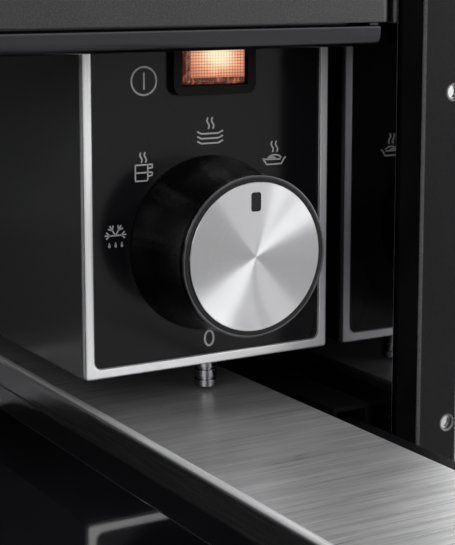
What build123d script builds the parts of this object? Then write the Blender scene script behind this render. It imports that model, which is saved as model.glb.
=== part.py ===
from build123d import *
import math
import os

# A built-in warming drawer, drawn with its drawer fully open.
# Lengths are millimetres. +X is the user's right, +Y goes into the cabinet, +Z is up.
# The origin is the centre of the carcass's underside.

# --- carcass ---
carcass_width = 556.0
carcass_depth = 525.0
carcass_height = 140.0
flange_reach = 19.5
sheet = 1.0
lip_width = 12.0

# --- front cross-member, trim bar, stiles and seals ---
top_rail_height = 7.8
top_rail_depth = 5.0
top_rail_return = 22.0
top_rail_end_gap = 2.0
top_rail_end_radius = 2.4
trim_bar_gap = 0.8
trim_bar_height = 5.2
trim_bar_depth = 12.0
trim_bar_face = 1.7
trim_bar_edge_radius = 0.5
trim_bar_end_gap = 5.3
trim_tab_length = 2.6
seal_width = 6.5
seal_thickness = 1.2
seal_inset = 0.6
stile_gap = 0.3
stile_thickness = 1.5
stile_edge_radius = 0.6
bumper_radius = 4.0
bumper_gap = 0.6
bumper_inset = 8.0
bumper_edge_distance = 14.0
cabinet_screw_radius = 1.9
cabinet_screw_end = 26.0
cabinet_screw_inset = 3.3

# --- control box and its front ---
box_wall_gap = 2.8
box_width = 72.1
box_ledge_gap = 11.8
panel_recess = 26.7
bezel_top_gap = 5.0
bezel_depth = 1.8
bezel_bar = 2.5
bezel_lip_depth = 0.8
bezel_corner_radius = 0.8
bezel_opening_radius = 2.0
panel_margin = 1.7
panel_clearance = 0.15
panel_thickness = 2.0
panel_corner_radius = 1.2
carrier_thickness = 2.0
carrier_clearance = 0.3

# --- knob and rotary thermostat ---
knob_inset = 36.2
knob_rise = 31.8
knob_length = 22.2
knob_gap = 0.5
knob_flare = 1.9
knob_taper = 0.5
knob_flare_length = 7.0
knob_flare_hollow = 0.35
knob_front_radius = 19.7
ring_wall = 0.7
ring_length = 1.6
ring_edge_radius = 0.3
knob_rim = 1.0
cap_thickness = 1.2
cap_proud = 0.3
cap_clearance = 0.1
index_width = 2.8
index_length = 4.75
index_margin = 2.5
index_corner_radius = 0.7
index_clearance = 0.1
index_recess = 0.2
shaft_radius = 3.0
shaft_clearance = 0.05
shaft_hole_gap = 1.5
shaft_engagement = 18.0
shaft_in_knob = 14.0
thermostat_width = 32.0
thermostat_height = 34.0
thermostat_depth = 28.0
thermostat_corner_radius = 2.0
bush_wall = 1.9
bush_clearance = 0.1

# --- rocker switch ---
switch_top_gap = 0.2
switch_side_rim = 2.4
switch_end_rim = 2.4
switch_flange_thickness = 2.1
switch_flange_radius = 2.5
switch_body_inset = 1.0
switch_body_depth = 26.0
switch_cutout_clearance = 0.1
switch_side_offset = 0.8
rocker_width = 17.0
rocker_height = 13.0
rocker_proud = 2.8
rocker_depth = 10.0
rocker_edge = 0.8
rocker_side_clearance = 1.1
rocker_end_clearance = 0.4
rocker_tilt = 7.0
rocker_pivot_depth = 5.0
rocker_pin_radius = 1.2
rocker_pin_clearance = 0.05
rocker_pin_length = 1.2
rocker_lamp_gap = 1.9
lamp_radius = 1.2
lamp_length = 10.0

# --- drawer ---
drawer_overlap = 132.0
front_gap = 4.0
drawer_rear_gap = 6.0
drawer_side_gap = 16.4
ledge_height = 31.6
ledge_thickness = 1.0
right_ledge = 49.8
left_ledge = 20.0
front_ledge = 18.0
rear_ledge = 22.0
ledge_corner_radius = 5.0
pan_bottom = 9.0
rail_width = 3.0
rail_rise = 0.8
rail_edge_radius = 1.2
glass_level = 24.5
glass_thickness = 4.0
glass_clearance = 0.3
mat_clearance = 0.5

# --- drawer front ---
front_bottom = 2.0
front_thickness = 20.0
front_glass_thickness = 4.0
front_trim_height = 6.0
front_trim_radius = 1.0
bracket_width = 14.0
bracket_depth = 30.0
bracket_height = 16.0
bracket_thickness = 1.5

# --- telescopic runners ---
runner_rear_gap = 20.0
runner_setback = 10.0
runner_centre_height = 17.5
runner_height = 27.0
runner_metal = 1.2
runner_flange = 11.4
runner_lip = 1.0
ball_radius = 1.2
ball_clearance = 0.15
middle_web_gap = 2.5
middle_flange_gap = 2.3
inner_flange_gap = 2.0
cage_metal = 0.5
cage_half_width = 1.8
cage_end = 6.0
cage_length = 120.0
cage_hole_clearance = 0.1
balls_per_row = 6
outer_cage_start = 40.0
inner_cage_start = 80.0
runner_screw_radius = 2.0
runner_screw_head_radius = 3.6
runner_screw_head = 0.7
runner_screw_clearance = 0.05
runner_screw_count = 4
runner_screw_end = 30.0

# --- hold-down pin under the control box ---
pin_radius = 3.0
pin_side_offset = 7.5
pin_setback = 16.0
pin_ledge_gap = 1.0
pin_groove_depth = 0.5
pin_groove_width = 0.7
pin_groove_pitch = 2.75
pin_groove_count = 3
pin_flange_radius = 4.6
pin_flange_thickness = 1.0

# --- rear compartment: baffle, fan, heater, latch, connections ---
rear_room_depth = 45.0
heater_top_gap = 2.0
impeller_radius = 38.0
impeller_depth = 14.0
impeller_gap = 3.5
impeller_disc = 1.0
impeller_hub_radius = 7.0
impeller_blades = 24
blade_length = 12.0
blade_thickness = 0.8
blade_angle = 35.0
fan_shaft_radius = 2.5
motor_radius = 27.0
motor_depth = 22.0
motor_foot_radius = 33.0
motor_foot_thickness = 1.5
grille_slot = 4.0
grille_pitch = 8.0
grille_inset = 4.0
outlet_slots = 9
outlet_slot_height = 60.0
outlet_offset = 150.0
heater_gap = 2.8
heater_tube_radius = 3.2
heater_gap_angle = 30.0
heater_collar_radius = 4.0
sensor_radius = 2.3
sensor_length = 34.0
sensor_offset = 110.0
sensor_rise = 24.0
latch_inset = 38.6
latch_width = 18.0
latch_end_wall = 3.0
latch_flange = 4.0
latch_flange_thickness = 1.0
latch_hole_clearance = 0.2
latch_bore_gap = 2.5
latch_travel = 4.0
latch_drawer_gap = 0.5
plunger_radius = 4.0
plunger_clearance = 0.05
plunger_length = 28.0
plunger_tip_radius = 1.5
terminal_width = 40.0
terminal_depth = 20.0
terminal_height = 18.0
terminal_level = 56.0
terminal_ways = 3
terminal_well_radius = 3.0
terminal_well_depth = 6.0
gland_radius = 9.0
gland_flange_radius = 12.0
gland_flange_thickness = 3.0
gland_proud = 12.0
gland_inside = 8.0
gland_bore_radius = 4.2
gland_clearance = 0.1
gland_nose_edge = 1.0
gland_drop = 36.0
loom_radius = 2.5
loom_hole_radius = 4.0
loom_drop = 10.0
loom_lead = 12.0
loom_rise_length = 30.0
back_screw_radius = 1.9
back_screw_head_radius = 3.4
back_screw_head = 1.6
back_screw_length = 8.0
back_screw_clearance = 0.1
back_screw_inset = 6.0
back_tab_depth = 10.0
back_screw_end = 22.0

# --- sizes and places worked out from the values above ---
half_width = carcass_width / 2
inner_half = half_width - sheet
half_front = half_width + flange_reach
front_y = -carcass_depth / 2
back_y = carcass_depth / 2
back_inner_y = back_y - sheet
cover_z = carcass_height - sheet
lip_z = cover_z - sheet
baffle_setback = carcass_depth - rear_room_depth
baffle_y = front_y + baffle_setback
rear_room_y = baffle_y + sheet
top_rail_z = carcass_height - top_rail_height
trim_bar_top = top_rail_z - trim_bar_gap
trim_bar_bottom = trim_bar_top - trim_bar_height
bumper_thickness = front_gap - stile_thickness - bumper_gap
box_right = inner_half - box_wall_gap
box_left = box_right - box_width
box_bottom = ledge_height + box_ledge_gap
bezel_top = carcass_height - bezel_top_gap
panel_y = front_y + panel_recess
panel_front_y = panel_y + bezel_lip_depth
panel_back_y = panel_front_y + panel_thickness
carrier_back_y = panel_back_y + carrier_thickness
knob_x = box_right - knob_inset
switch_x = knob_x + switch_side_offset
knob_height = box_bottom + knob_rise
knob_front_y = panel_y - knob_length
knob_back_y = panel_front_y - knob_gap
ring_radius = knob_front_radius + ring_wall
cap_radius = knob_front_radius - knob_rim - cap_clearance
index_distance = cap_radius - index_margin - index_length / 2
bush_radius = shaft_radius + bush_wall
switch_flange_width = rocker_width + 2 * (rocker_side_clearance + switch_side_rim)
switch_flange_height = rocker_height + 2 * (rocker_end_clearance + switch_end_rim)
switch_height = bezel_top - bezel_bar - switch_top_gap - switch_flange_height / 2
rocker_pivot_y = panel_y + rocker_pivot_depth
rocker_well_y = panel_y - rocker_proud + rocker_depth + rocker_lamp_gap + 2 * lamp_radius
drawer_length = baffle_setback + front_gap - drawer_rear_gap
drawer_travel = drawer_length - drawer_overlap
drawer_half = inner_half - drawer_side_gap
drawer_y = front_y - front_gap - drawer_travel
drawer_rear_y = drawer_y + drawer_length
ledge_bottom = ledge_height - ledge_thickness
pan_floor = pan_bottom + sheet
rail_left = -drawer_half + left_ledge
rail_right = drawer_half - right_ledge
rail_front = drawer_y + front_ledge
rail_rear = drawer_rear_y - rear_ledge
glass_bottom = glass_level - glass_thickness
runner_length = baffle_setback - runner_setback - runner_rear_gap
fan_x = (box_left - inner_half) / 2
heater_radius = impeller_radius + heater_gap + heater_tube_radius
fan_height = lip_z - heater_top_gap - heater_collar_radius - heater_radius
motor_front_y = back_inner_y - motor_depth
latch_level = (pan_bottom + ledge_bottom) / 2
latch_x = drawer_half - latch_inset
plunger_tip_y = drawer_rear_y + drawer_travel + latch_drawer_gap
latch_bore_end_y = plunger_tip_y + plunger_length + latch_travel + latch_bore_gap
gland_level = carcass_height - gland_drop
loom_level = lip_z - loom_drop


def block(x_low, x_high, y_low, y_high, z_low, z_high):
    """A box between two opposite corners."""
    centre = Pos((x_low + x_high) / 2, (y_low + y_high) / 2, (z_low + z_high) / 2)
    return centre * Box(x_high - x_low, y_high - y_low, z_high - z_low)


def rod_x(radius, y, z, x_low, x_high):
    """A round bar along X."""
    return Pos((x_low + x_high) / 2, y, z) * Rot(0, 90, 0) * Cylinder(radius, x_high - x_low)


def rod_y(radius, x, z, y_low, y_high):
    """A round bar along Y."""
    return Pos(x, (y_low + y_high) / 2, z) * Rot(90, 0, 0) * Cylinder(radius, y_high - y_low)


def rod_z(radius, x, y, z_low, z_high):
    """A round bar along Z."""
    return Pos(x, y, (z_low + z_high) / 2) * Cylinder(radius, z_high - z_low)


def rounded_block(x_low, x_high, y_low, y_high, z_low, z_high, axis, radius):
    """A box with its four edges along one axis rounded."""
    body = block(x_low, x_high, y_low, y_high, z_low, z_high)
    return fillet(body.edges().filter_by(axis), radius)


def mirrored(shape):
    """The same piece on the other side of the middle plane."""
    return mirror(shape, about=Plane.YZ)


def both_sides(shape):
    """The piece and its mirror image, as two solids."""
    return [shape, mirrored(shape)]


def spread(first, last, count):
    """Evenly spaced places from first to last."""
    return [first + (last - first) * step / (count - 1) for step in range(count)]


# --- carcass sheets ---
def make_side():
    """Right side: wall, outward front flange, and lips that the base and the cover rest on."""
    lip_start = front_y + top_rail_return + sheet
    side = block(inner_half, half_width, front_y, back_y, sheet, cover_z)
    side += block(half_width, half_front, front_y, front_y + sheet, sheet, cover_z)
    side += block(inner_half - lip_width, inner_half, front_y, back_inner_y, sheet, 2 * sheet)
    side += block(inner_half - lip_width, inner_half, lip_start, back_inner_y, lip_z, cover_z)
    for z in cabinet_screw_levels():
        side -= rod_y(cabinet_screw_radius, cabinet_screw_x(), z, front_y - sheet, front_y + 2 * sheet)
    for y in runner_screw_places(front_y + runner_setback):
        hole = runner_screw_radius + runner_screw_clearance
        side -= rod_x(hole, y, runner_centre_height, inner_half - sheet, half_width + sheet)
    tab_y = back_inner_y - back_tab_depth
    for z in back_screw_levels():
        tab = block(inner_half - lip_width, inner_half, tab_y, back_inner_y,
                    z - lip_width / 2, z + lip_width / 2)
        hole = rod_y(back_screw_radius + back_screw_clearance, back_screw_x(), z, tab_y - sheet, back_y)
        side += tab - hole
    return side


def cabinet_screw_x():
    """Distance of the cabinet screws from the middle plane."""
    return half_front - cabinet_screw_inset


def cabinet_screw_levels():
    """Heights of the cabinet screws."""
    return [cabinet_screw_end, carcass_height - cabinet_screw_end]


def back_screw_x():
    """Distance of the back screws from the middle plane."""
    return inner_half - back_screw_inset


def back_screw_levels():
    """Heights of the back screws."""
    return [back_screw_end, carcass_height - back_screw_end]


def make_back():
    """Back sheet with the gland hole and its screw holes."""
    back = block(-inner_half, inner_half, back_inner_y, back_y, sheet, cover_z)
    back -= rod_y(gland_radius + gland_clearance, knob_x, gland_level, back_inner_y - sheet, back_y + sheet)
    for x in (-back_screw_x(), back_screw_x()):
        for z in back_screw_levels():
            hole = back_screw_radius + back_screw_clearance
            back -= rod_y(hole, x, z, back_inner_y - sheet, back_y + sheet)
    return back


def make_back_screws():
    """Pan-head screws from behind, into the tabs of the two sides."""
    screws = []
    for x in (-back_screw_x(), back_screw_x()):
        for z in back_screw_levels():
            head = rod_y(back_screw_head_radius, x, z, back_y, back_y + back_screw_head)
            head = fillet(head.edges().sort_by(Axis.Y)[-1], back_screw_head / 2)
            screws.append(head + rod_y(back_screw_radius, x, z, back_y - back_screw_length, back_y))
    return screws


# --- front cross-member and trim ---
def make_top_front_rail():
    """Textured cross-member with rounded ends, and a return under the cover."""
    half = inner_half - top_rail_end_gap
    nose = block(-half, half, front_y, front_y + top_rail_depth, top_rail_z, cover_z)
    nose = fillet(nose.edges().filter_by(Axis.Z).group_by(Axis.Y)[0], top_rail_end_radius)
    strip = block(-half, half, front_y, front_y + sheet, cover_z, carcass_height)
    strip = fillet(strip.edges().filter_by(Axis.Z).group_by(Axis.Y)[0], sheet / 2)
    flange = block(-half, half, front_y + top_rail_depth, front_y + top_rail_return, lip_z, cover_z)
    inset = top_rail_end_radius
    strip = strip & block(-half + inset, half - inset, front_y, back_y, cover_z, carcass_height)
    return nose + flange + strip


def make_trim_bar():
    """Bull-nosed bar under the cross-member, with a riser and two end tabs that carry it."""
    half = inner_half - trim_bar_end_gap
    bar = block(-half, half, front_y, front_y + trim_bar_depth, trim_bar_bottom, trim_bar_top)
    front_edges = bar.edges().filter_by(Axis.X).group_by(Axis.Y)[0].sort_by(Axis.Z)
    bar = fillet(front_edges[0], trim_bar_height - trim_bar_edge_radius - trim_bar_face)
    top_edge = bar.edges().filter_by(Axis.X).group_by(Axis.Z)[-1].sort_by(Axis.Y)[0]
    bar = fillet(top_edge, trim_bar_edge_radius)
    riser_y = front_y + top_rail_depth + sheet
    bar += block(-half, half, riser_y, riser_y + sheet, trim_bar_top, lip_z)
    for x in (-half, half - trim_tab_length):
        bar += block(x, x + trim_tab_length, front_y + sheet, riser_y, trim_bar_top, top_rail_z)
    return bar


def make_stile():
    """Right front stile over the flange, drilled for the cabinet screws."""
    inner = inner_half + seal_inset + seal_width + stile_gap
    stile = block(inner, half_front, front_y - stile_thickness, front_y, sheet, cover_z)
    stile = fillet(stile.edges().filter_by(Axis.Z).group_by(Axis.Y)[0], stile_edge_radius)
    for z in cabinet_screw_levels():
        stile -= rod_y(cabinet_screw_radius, cabinet_screw_x(), z, front_y - 2 * stile_thickness, front_y)
    return stile


def make_seal():
    """Right sealing strip beside the opening."""
    outer = inner_half + seal_inset + seal_width
    return rounded_block(inner_half + seal_inset, outer, front_y - seal_thickness, front_y,
                         2 * sheet, lip_z, Axis.Z, seal_thickness / 3)


def make_bumpers():
    """Rubber pads behind the drawer front, one near each corner, which meet the stiles."""
    pads = []
    for x in (bumper_inset - half_front, half_front - bumper_inset):
        for z in (bumper_edge_distance, carcass_height - bumper_edge_distance):
            pad = rod_y(bumper_radius, x, z, drawer_y, drawer_y + bumper_thickness)
            pads.append(fillet(pad.edges().sort_by(Axis.Y)[-1], bumper_thickness / 2))
    return pads


# --- control box and its front ---
def make_control_box():
    """Folded sleeve along the right side, from the bezel back to the baffle."""
    start_y = panel_y + bezel_depth
    outer = block(box_left, box_right, start_y, baffle_y, box_bottom, lip_z)
    inner = block(box_left + sheet, box_right - sheet, start_y - sheet, baffle_y + sheet,
                  box_bottom + sheet, lip_z - sheet)
    return outer - inner


def make_bezel():
    """Polished frame: a narrow front lip and a rebate that takes the control panel."""
    low = box_bottom
    high = bezel_top
    frame = rounded_block(box_left, box_right, panel_y, panel_y + bezel_depth, low, high,
                          Axis.Y, bezel_corner_radius)
    opening = rounded_block(box_left + bezel_bar, box_right - bezel_bar, panel_y - sheet,
                            panel_y + 2 * bezel_depth, low + bezel_bar, high - bezel_bar,
                            Axis.Y, bezel_opening_radius)
    rebate_margin = panel_margin - panel_clearance
    rebate = rounded_block(box_left + rebate_margin, box_right - rebate_margin, panel_front_y,
                           panel_y + 2 * bezel_depth, low + rebate_margin, high - rebate_margin,
                           Axis.Y, panel_corner_radius)
    return frame - opening - rebate


def make_control_panel():
    """Dark panel with the knob's hole and the switch's cut-out."""
    panel = rounded_block(box_left + panel_margin, box_right - panel_margin, panel_front_y,
                          panel_back_y, box_bottom + panel_margin, bezel_top - panel_margin,
                          Axis.Y, panel_corner_radius)
    panel -= rod_y(shaft_radius + shaft_hole_gap, knob_x, knob_height, panel_y, panel_back_y + sheet)
    return panel - switch_cutout(panel_y, panel_back_y + sheet)


def make_panel_carrier():
    """Moulded carrier behind the panel: it holds the switch and the thermostat."""
    edge = sheet + carrier_clearance
    carrier = block(box_left + edge, box_right - edge, panel_back_y, carrier_back_y,
                    box_bottom + edge, bezel_top - panel_margin)
    hole = bush_radius + bush_clearance
    carrier -= rod_y(hole, knob_x, knob_height, panel_back_y - sheet, carrier_back_y + sheet)
    return carrier - switch_cutout(panel_back_y - sheet, carrier_back_y + sheet)


def switch_cutout(y_low, y_high):
    """The hole that the switch's body drops into."""
    half_x = switch_flange_width / 2 - switch_body_inset + switch_cutout_clearance
    half_z = switch_flange_height / 2 - switch_body_inset + switch_cutout_clearance
    return block(switch_x - half_x, switch_x + half_x, y_low, y_high,
                 switch_height - half_z, switch_height + half_z)


# --- knob and thermostat ---
def make_knob_body():
    """Flared knob turned about its axis, with a seat for the ring and a pocket for the cap."""
    back = knob_back_y
    front = knob_front_y
    waist_radius = ring_radius + knob_taper
    with BuildPart() as knob:
        with BuildSketch(Plane.XY) as profile:
            with BuildLine():
                flare_end = (waist_radius, front + knob_length - knob_flare_length)
                base_edge = (waist_radius + knob_flare, back)
                Line((0, back), base_edge)
                ThreePointArc(base_edge, flare_point(base_edge, flare_end), flare_end)
                Line(flare_end, (ring_radius, front + ring_length))
                Line((ring_radius, front + ring_length), (knob_front_radius, front + ring_length))
                Line((knob_front_radius, front + ring_length), (knob_front_radius, front))
                Line((knob_front_radius, front), (0, front))
                Line((0, front), (0, back))
            make_face()
        revolve(axis=Axis.Y)
    body = Pos(knob_x, 0, knob_height) * knob.part
    pocket = cap_radius + cap_clearance
    body -= rod_y(pocket, knob_x, knob_height, front - sheet, front + cap_thickness - cap_proud)
    index_top = front - cap_proud + index_recess
    body += index_shape(index_top, front + cap_thickness, index_clearance)
    bore = shaft_radius + shaft_clearance
    body -= rod_y(bore, knob_x, knob_height, back - shaft_in_knob, back + sheet)
    return body


def flare_point(base_edge, flare_end):
    """A point on the hollow curve between the knob's base and its waist."""
    x = flare_end[0] + (base_edge[0] - flare_end[0]) * knob_flare_hollow
    return (x, (base_edge[1] + flare_end[1]) / 2)


def index_shape(y_low, y_high, inset):
    """The rounded index bar near the knob's rim, at the top in the rest position."""
    centre_z = knob_height + index_distance
    half_x = index_width / 2 - inset
    half_z = index_length / 2 - inset
    return rounded_block(knob_x - half_x, knob_x + half_x, y_low, y_high,
                         centre_z - half_z, centre_z + half_z, Axis.Y, index_corner_radius - inset)


def make_knob_cap():
    """Turned metal disc with a window for the index."""
    front = knob_front_y - cap_proud
    cap = rod_y(cap_radius, knob_x, knob_height, front, front + cap_thickness)
    cap = chamfer(cap.edges().sort_by(Axis.Y)[0], cap_proud / 2)
    return cap - index_shape(front - sheet, front + 2 * cap_thickness, 0)


def make_knob_ring():
    """Thin polished ring round the knob's front edge."""
    front = knob_front_y
    ring = rod_y(ring_radius, knob_x, knob_height, front, front + ring_length)
    ring = fillet(ring.edges().sort_by(Axis.Y)[0], ring_edge_radius)
    return ring - rod_y(knob_front_radius, knob_x, knob_height, front - sheet, front + 2 * ring_length)


def make_knob_shaft():
    """Steel spindle from the knob into the thermostat."""
    back = carrier_back_y + shaft_engagement
    shaft = rod_y(shaft_radius, knob_x, knob_height, knob_back_y - shaft_in_knob, back)
    return chamfer(shaft.edges().sort_by(Axis.Y)[-1], shaft_radius / 6)


def make_thermostat():
    """Rotary thermostat: a moulded body and a bush through the carrier."""
    body = rounded_block(knob_x - thermostat_width / 2, knob_x + thermostat_width / 2,
                         carrier_back_y, carrier_back_y + thermostat_depth,
                         knob_height - thermostat_height / 2, knob_height + thermostat_height / 2,
                         Axis.Y, thermostat_corner_radius)
    body += rod_y(bush_radius, knob_x, knob_height, panel_back_y, carrier_back_y)
    bore = shaft_radius + shaft_clearance
    bore_end = carrier_back_y + shaft_engagement + sheet
    return body - rod_y(bore, knob_x, knob_height, panel_back_y - sheet, bore_end)


# --- rocker switch ---
def make_switch_housing():
    """Black housing: front flange, body through the panel, and the rocker's well."""
    flange_y = panel_front_y - switch_flange_thickness
    half_x = switch_flange_width / 2
    half_z = switch_flange_height / 2
    housing = rounded_block(switch_x - half_x, switch_x + half_x, flange_y, panel_front_y,
                            switch_height - half_z, switch_height + half_z,
                            Axis.Y, switch_flange_radius)
    inset = switch_body_inset
    housing += block(switch_x - half_x + inset, switch_x + half_x - inset, panel_front_y,
                     panel_front_y + switch_body_depth,
                     switch_height - half_z + inset, switch_height + half_z - inset)
    well_x = rocker_width / 2 + rocker_side_clearance
    well_z = rocker_height / 2 + rocker_end_clearance
    housing -= block(switch_x - well_x, switch_x + well_x, flange_y - sheet, rocker_well_y,
                     switch_height - well_z, switch_height + well_z)
    pin_end = rocker_height / 2 + rocker_pin_length + rocker_pin_clearance
    hole = rocker_pin_radius + rocker_pin_clearance
    return housing - rod_z(hole, switch_x, rocker_pivot_y, switch_height - pin_end, switch_height + pin_end)


def make_rocker():
    """Clear amber rocker with bevelled edges and two pivot pins, tilted to its on position."""
    half_x = rocker_width / 2
    half_z = rocker_height / 2
    front = panel_y - rocker_proud
    rocker = block(switch_x - half_x, switch_x + half_x, front, front + rocker_depth,
                   switch_height - half_z, switch_height + half_z)
    rocker = chamfer(rocker.faces().sort_by(Axis.Y)[0].edges(), rocker_edge)
    pin_end = half_z + rocker_pin_length
    rocker += rod_z(rocker_pin_radius, switch_x, rocker_pivot_y,
                    switch_height - pin_end, switch_height + pin_end)
    return rocker.rotate(Axis((switch_x, rocker_pivot_y, 0), (0, 0, 1)), -rocker_tilt)


def make_lamp():
    """Neon lamp at the bottom of the rocker's well."""
    lamp_y = rocker_well_y - lamp_radius
    return rod_x(lamp_radius, lamp_y, switch_height, switch_x - lamp_length / 2, switch_x + lamp_length / 2)


# --- hold-down pin ---
def make_hold_down_pin():
    """Grooved pin under the control box, just above the drawer's ledge."""
    x = knob_x + pin_side_offset
    y = panel_y + pin_setback
    bottom = ledge_height + pin_ledge_gap
    pin = rod_z(pin_radius, x, y, bottom, box_bottom)
    pin = chamfer(pin.edges().sort_by(Axis.Z)[0], pin_groove_depth / 2)
    for step in range(1, pin_groove_count + 1):
        z = bottom + step * pin_groove_pitch - pin_groove_width
        groove = rod_z(2 * pin_radius, x, y, z, z + pin_groove_width)
        pin -= groove - rod_z(pin_radius - pin_groove_depth, x, y, z, z + pin_groove_width)
    return pin + rod_z(pin_flange_radius, x, y, box_bottom - pin_flange_thickness, box_bottom)


# --- drawer ---
def make_pan():
    """Folded pan under the drawer, drilled for the runner screws."""
    outer = block(-drawer_half, drawer_half, drawer_y, drawer_rear_y, pan_bottom, ledge_bottom)
    inner = block(-drawer_half + sheet, drawer_half - sheet, drawer_y + sheet, drawer_rear_y - sheet,
                  pan_floor, ledge_bottom + sheet)
    pan = outer - inner
    hole = runner_screw_radius + runner_screw_clearance
    for y in runner_screw_places(front_y + runner_setback - drawer_travel):
        for side in (-1, 1):
            near, far = sorted((side * (drawer_half - 2 * sheet), side * (drawer_half + sheet)))
            pan -= rod_x(hole, y, runner_centre_height, near, far)
    return pan


def make_ledge_plate():
    """Brushed plate on the pan, open over the glass; the control side has the wide ledge."""
    plate = block(-drawer_half, drawer_half, drawer_y, drawer_rear_y, ledge_bottom, ledge_height)
    rear_edges = plate.edges().filter_by(Axis.Z).group_by(Axis.Y)[-1]
    plate = fillet(rear_edges, ledge_corner_radius)
    return plate - block(rail_left, rail_right, rail_front, rail_rear,
                         ledge_bottom - sheet, ledge_height + sheet)


def make_glass_rail():
    """Raised frame round the glass, standing on the pan's floor."""
    rail = block(rail_left, rail_right, rail_front, rail_rear, pan_floor, ledge_height + rail_rise)
    rail -= block(rail_left + rail_width, rail_right - rail_width, rail_front + rail_width,
                  rail_rear - rail_width, pan_floor - sheet, ledge_height + 2 * sheet)
    return fillet(rail.faces().sort_by(Axis.Z)[-1].edges(), rail_edge_radius)


def make_glass_floor():
    """Dark glass that the crockery stands on."""
    inset = rail_width + glass_clearance
    return block(rail_left + inset, rail_right - inset, rail_front + inset, rail_rear - inset,
                 glass_bottom, glass_level)


def make_insulation():
    """Mineral wool between the pan's floor and the glass."""
    inset = rail_width + mat_clearance
    return block(rail_left + inset, rail_right - inset, rail_front + inset, rail_rear - inset,
                 pan_floor, glass_bottom)


def make_front_brackets():
    """Angles in the pan's front corners that carry the drawer front."""
    x = drawer_half - sheet
    y = drawer_y + sheet
    angle = block(x - bracket_width, x, y, y + bracket_depth, pan_floor, pan_floor + bracket_height)
    angle -= block(x - 2 * bracket_width, x - bracket_thickness, y + bracket_thickness,
                   y + 2 * bracket_depth, pan_floor - sheet, pan_floor + 2 * bracket_height)
    return both_sides(angle)


# --- drawer front ---
def make_front_glass():
    """Dark glass facing of the drawer front."""
    y = drawer_y - front_thickness
    return block(-half_front, half_front, y, y + front_glass_thickness,
                 front_bottom + front_trim_height, carcass_height - front_trim_height)


def make_front_carrier():
    """Folded tray behind the glass facing, open towards the carcass."""
    y = drawer_y - front_thickness + front_glass_thickness
    low = front_bottom + front_trim_height
    high = carcass_height - front_trim_height
    tray = block(-half_front, half_front, y, drawer_y - sheet, low, high)
    return tray - block(-half_front + sheet, half_front - sheet, y + sheet, drawer_y,
                        low + sheet, high - sheet)


def make_front_inner_panel():
    """Sheet that closes the tray on the carcass side."""
    return block(-half_front, half_front, drawer_y - sheet, drawer_y,
                 front_bottom + front_trim_height, carcass_height - front_trim_height)


def make_front_trims():
    """Metal strips along the top and the bottom of the drawer front."""
    strips = []
    for low in (front_bottom, carcass_height - front_trim_height):
        strip = block(-half_front, half_front, drawer_y - front_thickness, drawer_y,
                      low, low + front_trim_height)
        edges = strip.edges().filter_by(Axis.X).group_by(Axis.Y)[0]
        strips.append(fillet(edges, front_trim_radius))
    return strips


# --- telescopic runners: sections in X and Z beside the drawer, run along Y ---
def runner_screw_places(start_y):
    """Places of a member's screws along Y."""
    return spread(start_y + runner_screw_end, start_y + runner_length - runner_screw_end,
                  runner_screw_count)


def channel(web_low, web_high, flange_end, half_height, metal, lip, start_y, end_y):
    """A channel section: web, two flanges towards flange_end, and lips that keep the balls in."""
    z = runner_centre_height
    low, high = sorted((web_low, flange_end))
    low = min(low, web_high)
    high = max(high, web_high)
    section = block(low, high, start_y, end_y, z - half_height, z + half_height)
    towards_end = web_high if flange_end > web_high else web_low
    cut_low, cut_high = sorted((towards_end, 2 * flange_end - towards_end))
    section -= block(cut_low, cut_high, start_y - sheet, end_y + sheet,
                     z - half_height + metal, z + half_height - metal)
    for side in (-1, 1):
        if lip:
            lip_end = flange_end + math.copysign(lip, towards_end - flange_end)
            lip_low, lip_high = sorted((flange_end, lip_end))
            lip_root = z + side * (half_height - metal)
            inner, outer = sorted((lip_root - side * lip, lip_root))
            section += block(lip_low, lip_high, start_y, end_y, inner, outer)
    return section


def ball_level(half_height):
    """Height of a ball row above the runner's middle, under a flange of that half height."""
    return half_height - runner_metal - ball_clearance - ball_radius


def next_half_height(half_height):
    """Half height of the member inside a ball row."""
    return ball_level(half_height) - ball_radius - ball_clearance


outer_half_height = runner_height / 2
middle_half_height = next_half_height(outer_half_height)
inner_half_height = next_half_height(middle_half_height)
outer_start = front_y + runner_setback
middle_start = outer_start - drawer_travel / 2
inner_start = outer_start - drawer_travel
outer_web = inner_half - runner_metal
middle_web_high = outer_web - middle_web_gap
middle_web_low = middle_web_high - runner_metal
outer_flange_end = inner_half - runner_flange
middle_flange_end = drawer_half + runner_metal + middle_flange_gap
inner_flange_end = middle_web_low - inner_flange_gap


def make_outer_member():
    """Right outer member, screwed to the carcass side."""
    member = channel(outer_web, inner_half, outer_flange_end, outer_half_height,
                     runner_metal, runner_lip, outer_start, outer_start + runner_length)
    for y in runner_screw_places(outer_start):
        hole = runner_screw_radius + runner_screw_clearance
        member -= rod_x(hole, y, runner_centre_height, outer_web - sheet, inner_half + sheet)
    return member


def make_middle_member():
    """Right middle member, which moves half as far as the drawer."""
    return channel(middle_web_low, middle_web_high, middle_flange_end, middle_half_height,
                   runner_metal, runner_lip, middle_start, middle_start + runner_length)


def make_inner_member():
    """Right inner member, screwed to the pan."""
    member = channel(drawer_half, drawer_half + runner_metal, inner_flange_end, inner_half_height,
                     runner_metal, 0, inner_start, inner_start + runner_length)
    for y in runner_screw_places(inner_start):
        hole = runner_screw_radius + runner_screw_clearance
        member -= rod_x(hole, y, runner_centre_height, drawer_half - sheet, drawer_half + 2 * runner_metal)
    return member


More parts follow.
